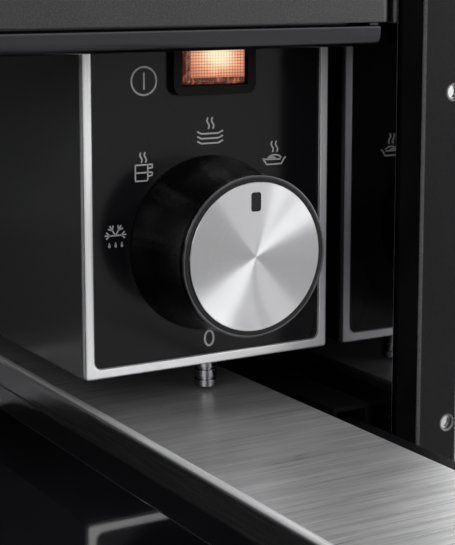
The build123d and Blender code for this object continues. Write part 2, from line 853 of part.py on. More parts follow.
def make_cage(half_height, race_low, race_high, web_x, start_y):
    """Right ball cage between two members: a bent strip with its balls, as separate solids."""
    level = ball_level(half_height)
    ball_x = (race_low + race_high) / 2
    strip_low, strip_high = sorted((ball_x - cage_half_width, web_x))
    z = runner_centre_height
    cage = block(strip_low, strip_high + cage_metal, start_y, start_y + cage_length,
                 z - level - cage_metal / 2, z + level + cage_metal / 2)
    cage -= block(strip_low - sheet, strip_high, start_y - sheet, start_y + cage_length + sheet,
                  z - level + cage_metal / 2, z + level - cage_metal / 2)
    balls = []
    for y in spread(start_y + cage_end, start_y + cage_length - cage_end, balls_per_row):
        for side in (-1, 1):
            ball_z = z + side * level
            reach = 2 * cage_metal
            hole = ball_radius + cage_hole_clearance
            cage -= rod_z(hole, ball_x, y, ball_z - reach, ball_z + reach)
            balls.append(Pos(ball_x, y, ball_z) * Sphere(ball_radius))
    return [cage] + balls


def make_outer_cage():
    """Right cage between the outer and the middle member."""
    web_x = (outer_web + middle_web_high - cage_metal) / 2
    return make_cage(outer_half_height, outer_flange_end + 2 * runner_lip, middle_web_low,
                     web_x, outer_start + outer_cage_start)


def make_inner_cage():
    """Right cage between the middle and the inner member."""
    web_x = (inner_flange_end + middle_web_low - cage_metal) / 2
    return make_cage(middle_half_height, middle_flange_end + 2 * runner_lip,
                     inner_flange_end - runner_metal, web_x, middle_start + inner_cage_start)


def make_runner_screws():
    """Screws that hold the outer members to the sides."""
    screws = []
    for y in runner_screw_places(outer_start):
        head = rod_x(runner_screw_head_radius, y, runner_centre_height,
                     outer_web - runner_screw_head, outer_web)
        shank = rod_x(runner_screw_radius, y, runner_centre_height, outer_web, half_width)
        screws += both_sides(head + shank)
    return screws


def make_drawer_screws():
    """Screws that hold the inner members to the pan."""
    screws = []
    wall = drawer_half - sheet
    for y in runner_screw_places(inner_start):
        head = rod_x(runner_screw_head_radius, y, runner_centre_height, wall - runner_screw_head, wall)
        shank = rod_x(runner_screw_radius, y, runner_centre_height, wall, drawer_half + runner_metal)
        screws += both_sides(head + shank)
    return screws


# --- rear compartment ---
def make_baffle():
    """Rear wall of the cavity, slotted for the fan's inlet and the two outlets."""
    baffle = block(-inner_half, inner_half, baffle_y, rear_room_y, 2 * sheet, lip_z)
    low = baffle_y - sheet
    high = rear_room_y + sheet
    grille_radius = impeller_radius - grille_inset
    count = int(grille_radius / grille_pitch)
    for step in range(-count, count + 1):
        x = fan_x + step * grille_pitch
        half_slot = math.sqrt(grille_radius ** 2 - (step * grille_pitch) ** 2)
        baffle -= block(x - grille_slot / 2, x + grille_slot / 2, low, high,
                        fan_height - half_slot, fan_height + half_slot)
    half_run = (outlet_slots - 1) / 2
    for side in (-1, 1):
        for step in range(outlet_slots):
            x = fan_x + side * outlet_offset + (step - half_run) * grille_pitch
            baffle -= block(x - grille_slot / 2, x + grille_slot / 2, low, high,
                            fan_height - outlet_slot_height / 2, fan_height + outlet_slot_height / 2)
    half_latch = latch_width / 2 + latch_hole_clearance
    baffle -= block(latch_x - half_latch, latch_x + half_latch, low, high,
                    latch_level - half_latch, latch_level + half_latch)
    return baffle - rod_y(loom_hole_radius, knob_x, loom_level, low, high)


def make_latch_body():
    """Push-latch housing through the baffle."""
    half = latch_width / 2
    flange_half = half + latch_flange
    z = latch_level
    body = block(latch_x - half, latch_x + half, baffle_y - latch_flange_thickness,
                 latch_bore_end_y + latch_end_wall, z - half, z + half)
    body += block(latch_x - flange_half, latch_x + flange_half,
                  baffle_y - latch_flange_thickness, baffle_y, z - half, z + half)
    bore = plunger_radius + plunger_clearance
    return body - rod_y(bore, latch_x, z, baffle_y - 2 * latch_flange_thickness, latch_bore_end_y)


def make_plunger():
    """Push-latch plunger that the closed drawer meets."""
    plunger = rod_y(plunger_radius, latch_x, latch_level, plunger_tip_y, plunger_tip_y + plunger_length)
    return fillet(plunger.edges().sort_by(Axis.Y)[0], plunger_tip_radius)


def make_impeller():
    """Radial impeller: back disc, hub, blades, front ring and its shaft."""
    front = rear_room_y + impeller_gap
    back = front + impeller_depth
    wheel = rod_y(impeller_radius, fan_x, fan_height, back - impeller_disc, back)
    wheel += rod_y(impeller_hub_radius, fan_x, fan_height, front + impeller_depth / 3, back)
    ring = rod_y(impeller_radius, fan_x, fan_height, front, front + impeller_disc)
    eye = impeller_radius - blade_length
    wheel += ring - rod_y(eye, fan_x, fan_height, front - sheet, front + 2 * impeller_disc)
    middle = impeller_radius - blade_length / 2 - blade_thickness
    for step in range(impeller_blades):
        turn = 360 * step / impeller_blades
        blade = Rot(0, 0, blade_angle) * Box(blade_length, blade_thickness, impeller_depth - impeller_disc)
        blade = Rot(0, 0, turn) * Pos(middle, 0, 0) * blade
        wheel += Pos(fan_x, (front + back) / 2, fan_height) * Rot(90, 0, 0) * blade
    return wheel + rod_y(fan_shaft_radius, fan_x, fan_height, back, motor_front_y + motor_depth / 2)


def make_motor():
    """Fan motor on the back sheet, with a bore for the impeller's shaft."""
    motor = rod_y(motor_radius, fan_x, fan_height, motor_front_y, back_inner_y)
    foot = rod_y(motor_foot_radius, fan_x, fan_height, back_inner_y - motor_foot_thickness, back_inner_y)
    bore = fan_shaft_radius + shaft_clearance
    bore_end = motor_front_y + motor_depth / 2 + sheet
    return motor + foot - rod_y(bore, fan_x, fan_height, motor_front_y - sheet, bore_end)


def make_heater():
    """Open ring of heater tube round the impeller, with two legs to the back sheet."""
    ring_y = rear_room_y + impeller_gap + impeller_depth / 2
    sweep = 360 - heater_gap_angle
    place = Pos(fan_x, ring_y, fan_height) * Rot(90, 0, 0) * Rot(0, 0, heater_gap_angle / 2 - 90)
    ring = place * Torus(heater_radius, heater_tube_radius, major_angle=sweep)
    for side in (-1, 1):
        angle = math.radians(side * heater_gap_angle / 2 - 90)
        x = fan_x + heater_radius * math.cos(angle)
        z = fan_height + heater_radius * math.sin(angle)
        ring += Pos(x, ring_y, z) * Sphere(heater_collar_radius)
        ring += rod_y(heater_tube_radius, x, z, ring_y, back_inner_y)
    return ring


def make_sensor():
    """Thermostat bulb on the cavity side of the baffle."""
    x = fan_x + sensor_offset
    return rod_x(sensor_radius, baffle_y - sensor_radius, fan_height + sensor_rise,
                 x - sensor_length / 2, x + sensor_length / 2)


def make_terminal_block():
    """Terminal block on the back sheet, with one well for each conductor."""
    low = back_inner_y - terminal_depth
    body = block(knob_x - terminal_width / 2, knob_x + terminal_width / 2, low, back_inner_y,
                 terminal_level, terminal_level + terminal_height)
    pitch = terminal_width / terminal_ways
    for step in range(terminal_ways):
        x = knob_x - terminal_width / 2 + (step + 0.5) * pitch
        top = terminal_level + terminal_height
        body -= rod_z(terminal_well_radius, x, low + terminal_depth / 2,
                      top - terminal_well_depth, top + sheet)
    return body


def make_gland():
    """Cord gland through the back sheet, with its clamping bore."""
    gland = rod_y(gland_radius, knob_x, gland_level, back_inner_y - gland_inside, back_y + gland_proud)
    gland = chamfer(gland.edges().sort_by(Axis.Y)[-1], gland_nose_edge)
    gland += rod_y(gland_flange_radius, knob_x, gland_level, back_y, back_y + gland_flange_thickness)
    return gland - rod_y(gland_bore_radius, knob_x, gland_level,
                         back_inner_y - 2 * gland_inside, back_y + 2 * gland_proud)


def make_loom():
    """Wires from the switch along the control box and down to the terminal block."""
    start_y = panel_front_y + switch_body_depth
    drop_y = (rear_room_y + back_inner_y) / 2
    points = [
        (knob_x, start_y, switch_height),
        (knob_x, start_y + loom_lead, switch_height),
        (knob_x, start_y + loom_lead + loom_rise_length, loom_level),
        (knob_x, drop_y, loom_level),
        (knob_x, drop_y, terminal_level + terminal_height),
    ]
    bend = min(4 * loom_radius, (back_inner_y - rear_room_y) / 3)
    path = FilletPolyline(*points, radius=bend)
    section = Plane(origin=points[0], z_dir=(0, 1, 0)) * Circle(loom_radius)
    return sweep(section, path=path)


def make_all():
    """Every node's name and its solids."""
    side = make_side()
    outer_member = make_outer_member()
    middle_member = make_middle_member()
    inner_member = make_inner_member()
    outer_cage = make_outer_cage()
    inner_cage = make_inner_cage()
    return {
        "carcass_base": [block(-half_width, half_width, front_y, back_y, 0, sheet)],
        "carcass_right_side": [side],
        "carcass_left_side": [mirrored(side)],
        "carcass_top": [block(-half_width, half_width, front_y + sheet, back_y, cover_z, carcass_height)],
        "carcass_back": [make_back()],
        "back_screws": make_back_screws(),
        "top_front_rail": [make_top_front_rail()],
        "top_trim_bar": [make_trim_bar()],
        "right_stile": [make_stile()],
        "left_stile": [mirrored(make_stile())],
        "side_seals": both_sides(make_seal()),
        "front_bumpers": make_bumpers(),
        "control_box": [make_control_box()],
        "panel_bezel": [make_bezel()],
        "control_panel": [make_control_panel()],
        "panel_carrier": [make_panel_carrier()],
        "knob_body": [make_knob_body()],
        "knob_cap": [make_knob_cap()],
        "knob_ring": [make_knob_ring()],
        "knob_shaft": [make_knob_shaft()],
        "thermostat": [make_thermostat()],
        "switch_housing": [make_switch_housing()],
        "switch_rocker": [make_rocker()],
        "switch_lamp": [make_lamp()],
        "hold_down_pin": [make_hold_down_pin()],
        "drawer_pan": [make_pan()],
        "ledge_plate": [make_ledge_plate()],
        "glass_rail": [make_glass_rail()],
        "glass_floor": [make_glass_floor()],
        "floor_insulation": [make_insulation()],
        "front_brackets": make_front_brackets(),
        "front_glass": [make_front_glass()],
        "front_carrier": [make_front_carrier()],
        "front_inner_panel": [make_front_inner_panel()],
        "front_trims": make_front_trims(),
        "right_runner_outer": [outer_member],
        "left_runner_outer": [mirrored(outer_member)],
        "right_runner_middle": [middle_member],
        "left_runner_middle": [mirrored(middle_member)],
        "right_runner_inner": [inner_member],
        "left_runner_inner": [mirrored(inner_member)],
        "right_outer_cage": outer_cage,
        "left_outer_cage": [mirrored(piece) for piece in outer_cage],
        "right_inner_cage": inner_cage,
        "left_inner_cage": [mirrored(piece) for piece in inner_cage],
        "runner_screws": make_runner_screws(),
        "drawer_screws": make_drawer_screws(),
        "rear_baffle": [make_baffle()],
        "latch_body": [make_latch_body()],
        "latch_plunger": [make_plunger()],
        "fan_impeller": [make_impeller()],
        "fan_motor": [make_motor()],
        "ring_heater": [make_heater()],
        "sensor_bulb": [make_sensor()],
        "terminal_block": [make_terminal_block()],
        "cord_gland": [make_gland()],
        "wiring_loom": [make_loom()],
    }


os.makedirs("parts", exist_ok=True)
for node, solids in make_all().items():
    shape = solids[0] if len(solids) == 1 else Compound(children=solids)
    export_step(shape, f"parts/{node}.step")
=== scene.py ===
"""Studio picture of a built-in warming drawer, drawn out, seen at its controls.

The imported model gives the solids. This file gives every solid its finish and adds the finer pieces.
Lengths are in metres, unless a class gives them in millimetres, which MM turns into metres.
"""
import logging
import math
from dataclasses import dataclass
from enum import Enum
from functools import partialmethod
from typing import Any

import bmesh
import bpy
import numpy as np
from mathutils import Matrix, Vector


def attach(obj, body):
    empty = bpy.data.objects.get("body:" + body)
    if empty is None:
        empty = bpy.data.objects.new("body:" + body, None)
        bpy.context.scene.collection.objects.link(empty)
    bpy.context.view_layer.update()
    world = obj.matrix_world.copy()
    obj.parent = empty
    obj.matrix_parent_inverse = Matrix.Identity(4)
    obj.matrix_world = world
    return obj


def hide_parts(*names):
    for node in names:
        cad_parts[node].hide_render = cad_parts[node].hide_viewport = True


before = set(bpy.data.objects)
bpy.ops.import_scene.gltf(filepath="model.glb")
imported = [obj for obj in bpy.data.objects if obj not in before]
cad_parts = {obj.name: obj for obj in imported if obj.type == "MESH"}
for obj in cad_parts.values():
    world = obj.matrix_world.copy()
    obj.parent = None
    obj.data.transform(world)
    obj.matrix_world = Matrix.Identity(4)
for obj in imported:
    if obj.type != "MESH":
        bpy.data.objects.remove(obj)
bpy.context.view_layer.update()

MM = 0.001
FLANKS = (-1.0, -0.33, 0.33, 1.0)  # slopes of a groove's flanks, as shares of the steepest
Colour = tuple[float, float, float]
Place = tuple[float, float, float]
Pair = tuple[float, float]
Lines = list[tuple[np.ndarray, bool]]
log = logging.getLogger("warming_drawer")


class Grain(Enum):
    """Which way a sheet was brushed, as a direction."""

    ACROSS = (1.0, 0.0, 0.0)
    DEPTH = (0.0, 1.0, 0.0)
    UPRIGHT = (0.0, 0.0, 1.0)

    def stretch(self, fine: float, along: float) -> Place:
        """Scale of a streaky pattern: fine across the grain and slow along it."""
        return tuple(along if share else fine for share in self.value)


class Field:
    """A socket that takes part in Python arithmetic, which adds Math nodes."""

    def __init__(self, net: "Net", socket: bpy.types.NodeSocket) -> None:
        """Keeps the net and the socket."""
        self.net = net
        self.socket = socket

    def maths(self, operation: str, *others: Any) -> "Field":
        """Adds a Math node on this value and then others, links or numbers, and gives its result."""
        return self.net.node("Math", {"operation": operation}, dict(enumerate((self, *others))))

    def swapped(self, operation: str, other: Any) -> "Field":
        """Adds a Math node on another value and then this one, and gives its result."""
        return self.net.node("Math", {"operation": operation}, {0: other, 1: self})

    __add__ = partialmethod(maths, "ADD")
    __radd__ = partialmethod(swapped, "ADD")
    __sub__ = partialmethod(maths, "SUBTRACT")
    __rsub__ = partialmethod(swapped, "SUBTRACT")
    __mul__ = partialmethod(maths, "MULTIPLY")
    __truediv__ = partialmethod(maths, "DIVIDE")
    __pow__ = partialmethod(maths, "POWER")
    __abs__ = partialmethod(maths, "ABSOLUTE")
    sine = partialmethod(maths, "SINE")
    root = partialmethod(maths, "SQRT")

    def ramp(self, low: float, high: float, out_low: float = 0.0, out_high: float = 1.0) -> "Field":
        """Smooth step: it gives out_low up to low, and out_high from high on."""
        ends = {"Value": self, "From Min": low, "From Max": high, "To Min": out_low, "To Max": out_high}
        return self.net.node("MapRange", {"interpolation_type": "SMOOTHSTEP"}, ends)


class Net:
    """The node tree of one material."""

    def __init__(self, name: str) -> None:
        """Makes an empty material.

        Args:
            name: the material's name.
        """
        self.material = bpy.data.materials.new(name)
        self.material.use_nodes = True
        self.tree = self.material.node_tree
        self.tree.nodes.clear()

    def node(self, kind: str, settings: dict[str, Any], inputs: dict[Any, Any], output: Any = 0) -> Field:
        """Adds a node.

        Args:
            kind: the node's type, without ShaderNode in front.
            settings: its own settings, set first.
            inputs: links or values of its sockets, by name or place.
            output: the name or place of the output that is wanted.

        Returns:
            That output.
        """
        made = self.tree.nodes.new("ShaderNode" + kind)
        for key, value in settings.items():
            setattr(made, key, value)
        for key, value in inputs.items():
            if isinstance(value, Field):
                self.tree.links.new(value.socket, made.inputs[key])
            else:
                made.inputs[key].default_value = value
        return Field(self, made.outputs[output])

    def vector(self, operation: str, inputs: dict[Any, Any], output: Any = 0) -> Field:
        """Adds a Vector Math node and gives one of its outputs."""
        return self.node("VectorMath", {"operation": operation}, inputs, output)

    def place(self) -> Field:
        """The point on the object, in metres."""
        return self.node("TexCoord", {}, {}, "Object")

    def stretched(self, scale: Place, centre: Place = (0.0, 0.0, 0.0)) -> Field:
        """The point from a centre, with a metre along X, Y and Z made so many units."""
        shift = tuple(-c * s for c, s in zip(centre, scale))
        return self.node("Mapping", {}, {"Vector": self.place(), "Scale": scale, "Location": shift})

    def part(self, vector: Field, axis: int) -> Field:
        """One coordinate of a vector."""
        return self.node("SeparateXYZ", {}, {0: vector}, axis)

    def noise(self, vector: Field, scale: float, detail: float = 2.0, rough: float = 0.5) -> Field:
        """Cloudy noise between 0 and 1."""
        inputs = {"Vector": vector, "Scale": scale, "Detail": detail, "Roughness": rough}
        return self.node("TexNoise", {}, inputs)

    def streaky(self, scale: Place, detail: float = 2.0, rough: float = 0.5) -> Field:
        """Noise drawn out: so many of its waves lie on a metre along X, Y and Z."""
        return self.noise(self.stretched(scale), 1.0, detail, rough)

    def cells(self, vector: Field, scale: float, feature: str = "F1", output: str = "Distance") -> Field:
        """Cell pattern: the distance to its points, or each cell's own colour."""
        inputs = {"Vector": vector, "Scale": scale}
        return self.node("TexVoronoi", {"feature": feature}, inputs, output)

    def blend(self, factor: Any, first: Any, second: Any) -> Field:
        """Colour between two, links or three numbers each: factor 0 gives the first and 1 the second."""
        ends = [c if isinstance(c, Field) else (*c, 1.0) for c in (first, second)]
        return self.node("Mix", {"data_type": "RGBA"}, {0: factor, 6: ends[0], 7: ends[1]}, 2)

    def relief(self, height: Field, strength: float, depth: float, **under: Field) -> Field:
        """Normal of a bumpy surface: depth is what a height of 1 is, and Normal is what it lies on."""
        inputs = {"Height": height, "Strength": strength, "Distance": depth, **under}
        return self.node("Bump", {}, inputs)

    def soft_edges(self, radius: float) -> Field:
        """Normal that rounds sharp edges by a radius."""
        return self.node("Bevel", {"samples": 6}, {"Radius": radius})

    def leaned(self, normal: Field, towards: Field, tilt: Any) -> Field:
        """The normal leaned towards a direction by a slope, from the object's axes to the world's."""
        lean = self.vector("SCALE", {0: towards, "Scale": tilt})
        return self.turned(self.vector("ADD", {0: lean, 1: normal}), "OBJECT", "WORLD")

    def turned(self, normal: Field, before: str, after: str) -> Field:
        """A normal put from one set of axes into another."""
        settings = {"vector_type": "NORMAL", "convert_from": before, "convert_to": after}
        return self.node("VectorTransform", settings, {0: normal})

    def spread(self, colour: Any, rough: Any, metal: Any, normals: list[Field]) -> Field:
        """Equal shares of one metal under several normals, as the flanks of its grooves lean.

        Args:
            colour: its colour.
            rough: its roughness.
            metal: how metallic it is.
            normals: the normals, two or four of them.

        Returns:
            The mixed shader.
        """
        shares = [self.surface(colour, rough, {"Metallic": metal, "Normal": normal}) for normal in normals]
        while len(shares) > 1:
            pairs = zip(shares[::2], shares[1::2])
            shares = [self.node("MixShader", {}, {0: 0.5, 1: first, 2: second}) for first, second in pairs]
        return shares[0]

    def near_edge(self, radius: float) -> Field:
        """About 1 at an edge and 0 on flat ground: how far the rounded normal turns from the true one."""
        normals = {0: self.soft_edges(radius), 1: self.node("NewGeometry", {}, {}, "True Normal")}
        return (1.0 - self.vector("DOT_PRODUCT", normals, "Value")).ramp(0.0, 0.05)

    def surface(self, colour: Any, rough: Any, more: dict[str, Any]) -> Field:
        """The main shader, with more of its sockets by name."""
        return self.node("BsdfPrincipled", {}, {"Base Color": colour, "Roughness": rough, **more})

    def close(self, shader: Field) -> bpy.types.Material:
        """Joins the shader to the output and gives the finished material."""
        self.tree.links.new(shader.socket, self.tree.nodes.new("ShaderNodeOutputMaterial").inputs["Surface"])
        return self.material


def shade(colour: Colour, share: float, lift: float = 0.0) -> Colour:
    """The colour times a share, plus a lift, with no number over 1."""
    return tuple(min(1.0, part * share + lift) for part in colour)


def grey(value: float) -> tuple[float, float, float, float]:
    """An even grey, with full opacity as its fourth number."""
    return (value, value, value, 1.0)


@dataclass(frozen=True)
class Finish:
    """What a surface is made of and how it was treated.

    Args:
        name: the finish in a maker's words.
        colour: its main colour.
        roughness: how rough it is, from 0 to 1.
        edge: radius that its edges are rounded to, where it rounds them.
        gloss: how strongly a coat, glass or moulding mirrors, 0.5 being plain.
    """

    name: str
    colour: Colour
    roughness: float
    edge: float = 0.3 * MM
    gloss: float = 0.5

    def shader(self, net: Net) -> Field:
        """The finish's shader."""
        raise NotImplementedError

    def material(self) -> bpy.types.Material:
        """The finish as a material, which is made once.

        Returns:
            The material.
        """
        kept = bpy.data.materials.get(self.name)
        if kept is not None:
            return kept
        net = Net(self.name)
        return net.close(self.shader(net))

    def dress(self, *names: str) -> None:
        """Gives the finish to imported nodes."""
        for name in names:
            paint(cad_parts[name], self)


def paint(piece: bpy.types.Object, finish: Finish) -> None:
    """Gives a finish to a piece.

    Args:
        piece: the object.
        finish: its finish.
    """
    material = finish.material()
    if not piece.material_slots:
        piece.data.materials.append(material)
    for place in piece.material_slots:
        place.material = material


@dataclass(frozen=True)
class Enamel(Finish):
    """Gloss enamel on sheet: a slight orange peel, with thin dust and faint wiping marks.

    Args:
        peel: how deep the orange peel is.
    """

    edge: float = 0.35 * MM
    peel: float = 0.004 * MM

    def shader(self, net: Net) -> Field:
        """Dark glossy paint with a wavy surface.

        Args:
            net: the material's net.

        Returns:
            The shader.
        """
        place = net.place()
        wipes = net.streaky((30.0, 9.0, 70.0), 4.0, 0.6)
        dust = net.cells(place, 900.0).ramp(0.10, 0.02)
        specks = dust * net.noise(place, 60.0).ramp(0.55, 0.75)
        colour = net.blend(specks * 0.5, self.colour, (0.16, 0.16, 0.16))
        rough = self.roughness + wipes.ramp(0.4, 0.8, 0.0, 0.05) + specks * 0.3
        peel = net.noise(place, 260.0, 1.0)
        normal = net.relief(peel, 0.3, self.peel, Normal=net.soft_edges(self.edge))
        return net.surface(colour, rough, {"Normal": normal, "Specular IOR Level": self.gloss})


@dataclass(frozen=True)
class TexturedCoat(Finish):
    """Powder coat with a fine grain.

    Args:
        grain: how many grains lie on a metre.
        rubbed: colour of its rubbed patches.
        metal: how metallic its flakes are.
        painted_edge_highlight: how far in from its edges a painted highlight reaches, which pales them as if
            they caught the light.
        pale: the colour of that painted highlight.
    """

    edge: float = 0.5 * MM
    grain: float = 2400.0
    rubbed: Colour = (0.08, 0.08, 0.08)
    metal: float = 0.0
    painted_edge_highlight: float = 0.0
    pale: Colour = (0.30, 0.30, 0.30)

    def shader(self, net: Net) -> Field:
        """Grainy matt paint, paler on the tops of its grains.

        Args:
            net: the material's net.

        Returns:
            The shader.
        """
        place = net.place()
        fine = net.noise(place, self.grain, 3.0, 0.65)
        broad = net.noise(place, 25.0, 3.0)
        tone = net.blend(fine.ramp(0.35, 0.75), shade(self.colour, 0.75), shade(self.colour, 1.35))
        colour = net.blend(broad.ramp(0.3, 0.8, 0.0, 0.22), tone, self.rubbed)
        # Painted highlight: a band along the edges is blended to a pale colour, as if the edges caught the
        # light.
        if self.painted_edge_highlight:
            colour = net.blend(net.near_edge(self.painted_edge_highlight), colour, self.pale)
        normal = net.relief(fine, 0.55, 0.06 * MM, Normal=net.soft_edges(self.edge))
        rough = fine.ramp(0.2, 0.8, self.roughness, self.roughness + 0.2)
        return net.surface(colour, rough, {"Metallic": self.metal, "Normal": normal,
                                           "Specular IOR Level": self.gloss})


@dataclass(frozen=True)
class Brushed(Finish):
    """Brushed metal with long fine streaks, a few scratches and faint smears.

    Args:
        grain: which way it was brushed.
        contrast: how far the streaks' colour departs from the main one.
        slope: how steep the streaks' flanks are.
        metal: how metallic it is; under 1 it is satin, as fine blasting leaves it.
        painted_top_highlight: how much its faces that point up are painted paler and made more satin: a
            painted highlight on its top.
    """

    grain: Grain = Grain.ACROSS
    contrast: float = 0.22
    slope: float = 0.30
    metal: float = 1.0
    painted_top_highlight: float = 0.0

    def shader(self, net: Net) -> Field:
        """Streaks drawn out along the grain; their flanks lean the normal across it.

        Args:
            net: the material's net.

        Returns:
            The shader.
        """
        streaks = net.streaky(self.grain.stretch(2600.0, 45.0), 3.0, 0.6)
        broad = net.streaky(self.grain.stretch(520.0, 26.0), 3.0, 0.55)
        crossing = net.stretched((170.0, 55.0, 170.0))
        scratches = net.cells(crossing, 1.0, "DISTANCE_TO_EDGE").ramp(0.010, 0.0)
        scratches = scratches * net.noise(net.place(), 22.0, 2.0).ramp(0.55, 0.70)
        smears = net.streaky((9.0, 5.0, 9.0), 4.0, 0.6)
        dark, light = shade(self.colour, 1.0 - self.contrast), shade(self.colour, 1.0 + self.contrast)
        lines = streaks * 0.6 + broad * 0.4
        colour = net.blend(lines.ramp(0.32, 0.68), dark, light)
        colour = net.blend(scratches * 0.5, colour, (0.9, 0.9, 0.9))
        rough = self.roughness + streaks.ramp(0.3, 0.75, -0.04, 0.05) + smears.ramp(0.3, 0.8, -0.03, 0.06)
        normal = net.turned(net.soft_edges(self.edge), "WORLD", "OBJECT")
        across = net.vector("CROSS_PRODUCT", {0: self.grain.value, 1: normal})
        metal: Any = self.metal
        # Painted highlight: faces that point up are painted paler and made less metallic, as light falling on
        # the top would show.
        if self.painted_top_highlight:
            top_highlight_mask = net.part(normal, 2).ramp(0.30, 0.80) * self.painted_top_highlight
            colour = net.blend(top_highlight_mask, colour, (0.80, 0.80, 0.81))
            metal = self.metal - top_highlight_mask * 0.8
        lean = (streaks - 0.5) * 0.25
        normals = [net.leaned(normal, across, lean + share * self.slope) for share in FLANKS]
        return net.spread(colour, rough, metal, normals)


@dataclass(frozen=True)
class Polished(Finish):
    """Polished or plated metal with hairline scratches and a little haze.

    Args:
        haze: how much rougher its hazy places are.
        metal: how metallic it is; under 1 it is satin.
        painted_dark_edge: how wide the band along its edges is whose colour is painted near black, a painted
            dark reflection, and which is made fully metallic and smoother.
    """

    edge: float = 0.25 * MM
    haze: float = 0.10
    metal: float = 1.0
    painted_dark_edge: float = 0.0

    def shader(self, net: Net) -> Field:
        """Bright metal, with fine cell edges as hairlines.

        Args:
            net: the material's net.

        Returns:
            The shader.
        """
        place = net.place()
        hairs = net.cells(net.stretched((420.0, 700.0, 500.0)), 1.0, "DISTANCE_TO_EDGE").ramp(0.012, 0.0)
        hairs = hairs * net.noise(place, 90.0, 2.0).ramp(0.5, 0.7)
        cloud = net.noise(place, 45.0, 4.0, 0.6)
        tarnish = net.noise(place, 110.0, 3.0, 0.6)
        colour = net.blend(tarnish.ramp(0.35, 0.8, 0.0, 0.4), self.colour, shade(self.colour, 0.93))
        metal: Any = self.metal
        rough = self.roughness + cloud.ramp(0.35, 0.8, 0.0, self.haze) + hairs * 0.04
        # Painted reflection: a band along the edges is painted near black, as if it mirrored dark
        # surroundings, and is made fully metallic and smoother.
        if self.painted_dark_edge:
            edges = net.near_edge(self.painted_dark_edge)
            colour = net.blend(edges, colour, shade(self.colour, 0.08))
            metal = self.metal + edges * (1.0 - self.metal)
            rough = rough * (1.0 - edges * 0.65)
        normal = net.soft_edges(self.edge)
        return net.surface(colour, rough, {"Metallic": metal, "Normal": normal})


@dataclass(frozen=True)
class Turned(Finish):
    """Metal faced on a lathe: fine rings round an axis along Y, which draw light out into fans.

    Args:
        axis: a point on the axis.
        slope: how steep the rings are.
        rings: how many visible bands lie on a metre.
    """

    axis: Place = (0.0, 0.0, 0.0)
    slope: float = 0.34
    rings: float = 1200.0

    def shader(self, net: Net) -> Field:
        """Leans the normal outwards and inwards, as the flanks of fine rings do.

        Args:
            net: the material's net.

        Returns:
            The shader.
        """
        offset = net.stretched((1.0, 0.0, 1.0), (self.axis[0], 0.0, self.axis[2]))
        radius = net.vector("LENGTH", {0: offset}, "Value")
        outward = net.vector("NORMALIZE", {0: offset})
        bands = net.node("TexNoise", {"noise_dimensions": "1D"},
                         {"W": radius, "Scale": self.rings, "Detail": 4.0})
        colour = net.blend(bands.ramp(0.3, 0.7), shade(self.colour, 0.98), self.colour)
        rough = self.roughness + bands.ramp(0.3, 0.7, 0.0, 0.008)
        normal = net.node("TexCoord", {}, {}, "Normal")
        normals = [net.leaned(normal, outward, share * self.slope) for share in FLANKS]
        return net.spread(colour, rough, 1.0, normals)


@dataclass(frozen=True)
class BlackGlass(Finish):
    """Opaque dark glass with ground edges, and finger marks that only its gloss shows."""

    edge: float = 0.4 * MM

    def shader(self, net: Net) -> Field:
        """A near-black mirror, a little rougher where it was wiped.

        Args:
            net: the material's net.

        Returns:
            The shader.
        """
        marks = net.streaky((22.0, 22.0, 14.0), 5.0, 0.65)
        swirl = net.streaky((60.0, 220.0, 60.0))
        rough = self.roughness + marks.ramp(0.4, 0.8, 0.0, 0.07) + swirl.ramp(0.5, 0.8, 0.0, 0.03)
        colour = net.blend(marks.ramp(0.3, 0.8), self.colour, shade(self.colour, 1.6, 0.002))
        normal = net.soft_edges(self.edge)
        return net.surface(colour, rough, {"Normal": normal, "Specular IOR Level": self.gloss})


@dataclass(frozen=True)
class Moulded(Finish):
    """Moulded plastic, phenolic or rubber.

    Args:
        grain: how many dots of its mould's texture lie on a metre.
        depth: how deep they are.
        sheen: weight of a thin clear layer.
    """

    edge: float = 0.25 * MM
    grain: float = 1800.0
    depth: float = 0.02 * MM
    sheen: float = 0.0

    def shader(self, net: Net) -> Field:
        """Even colour with a fine mould texture and slight flow marks.

        Args:
            net: the material's net.

        Returns:
            The shader.
        """
        place = net.place()
        dots = net.noise(place, self.grain, 2.0, 0.6)
        flow = net.streaky((50.0, 20.0, 35.0), 3.0)
        colour = net.blend(flow.ramp(0.3, 0.75), shade(self.colour, 0.85), shade(self.colour, 1.15, 0.001))
        rough = self.roughness + dots.ramp(0.3, 0.7, -0.03, 0.05)
        normal = net.relief(dots, 0.4, self.depth, Normal=net.soft_edges(self.edge))
        return net.surface(colour, rough, {"Normal": normal, "Coat Weight": self.sheen,
                                           "Coat Roughness": 0.05, "Specular IOR Level": self.gloss})


@dataclass(frozen=True)
class Galvanised(Finish):
    """Zinc-coated sheet with its spangle of crystals and a few rolling marks."""

    def shader(self, net: Net) -> Field:
        """Crystals as cells, each with its own tone and roughness.

        Args:
            net: the material's net.

        Returns:
            The shader.
        """
        place = net.place()
        drift = net.node("TexNoise", {}, {"Vector": place, "Scale": 140.0}, 1)
        warped = net.vector("MULTIPLY_ADD", {0: drift, 1: (0.006, 0.006, 0.006), 2: place})
        crystal = net.part(net.cells(warped, 130.0, "F1", "Color"), 0)
        ribs = net.streaky((60.0, 900.0, 900.0))
        colour = net.blend(crystal * 0.7 + ribs * 0.3, shade(self.colour, 0.72), self.colour)
        rough = self.roughness + crystal * 0.18
        height = crystal * 0.5 + net.noise(place, 700.0) * 0.5
        normal = net.relief(height, 0.25, 0.02 * MM, Normal=net.soft_edges(self.edge))
        return net.surface(colour, rough, {"Metallic": 0.85, "Normal": normal})


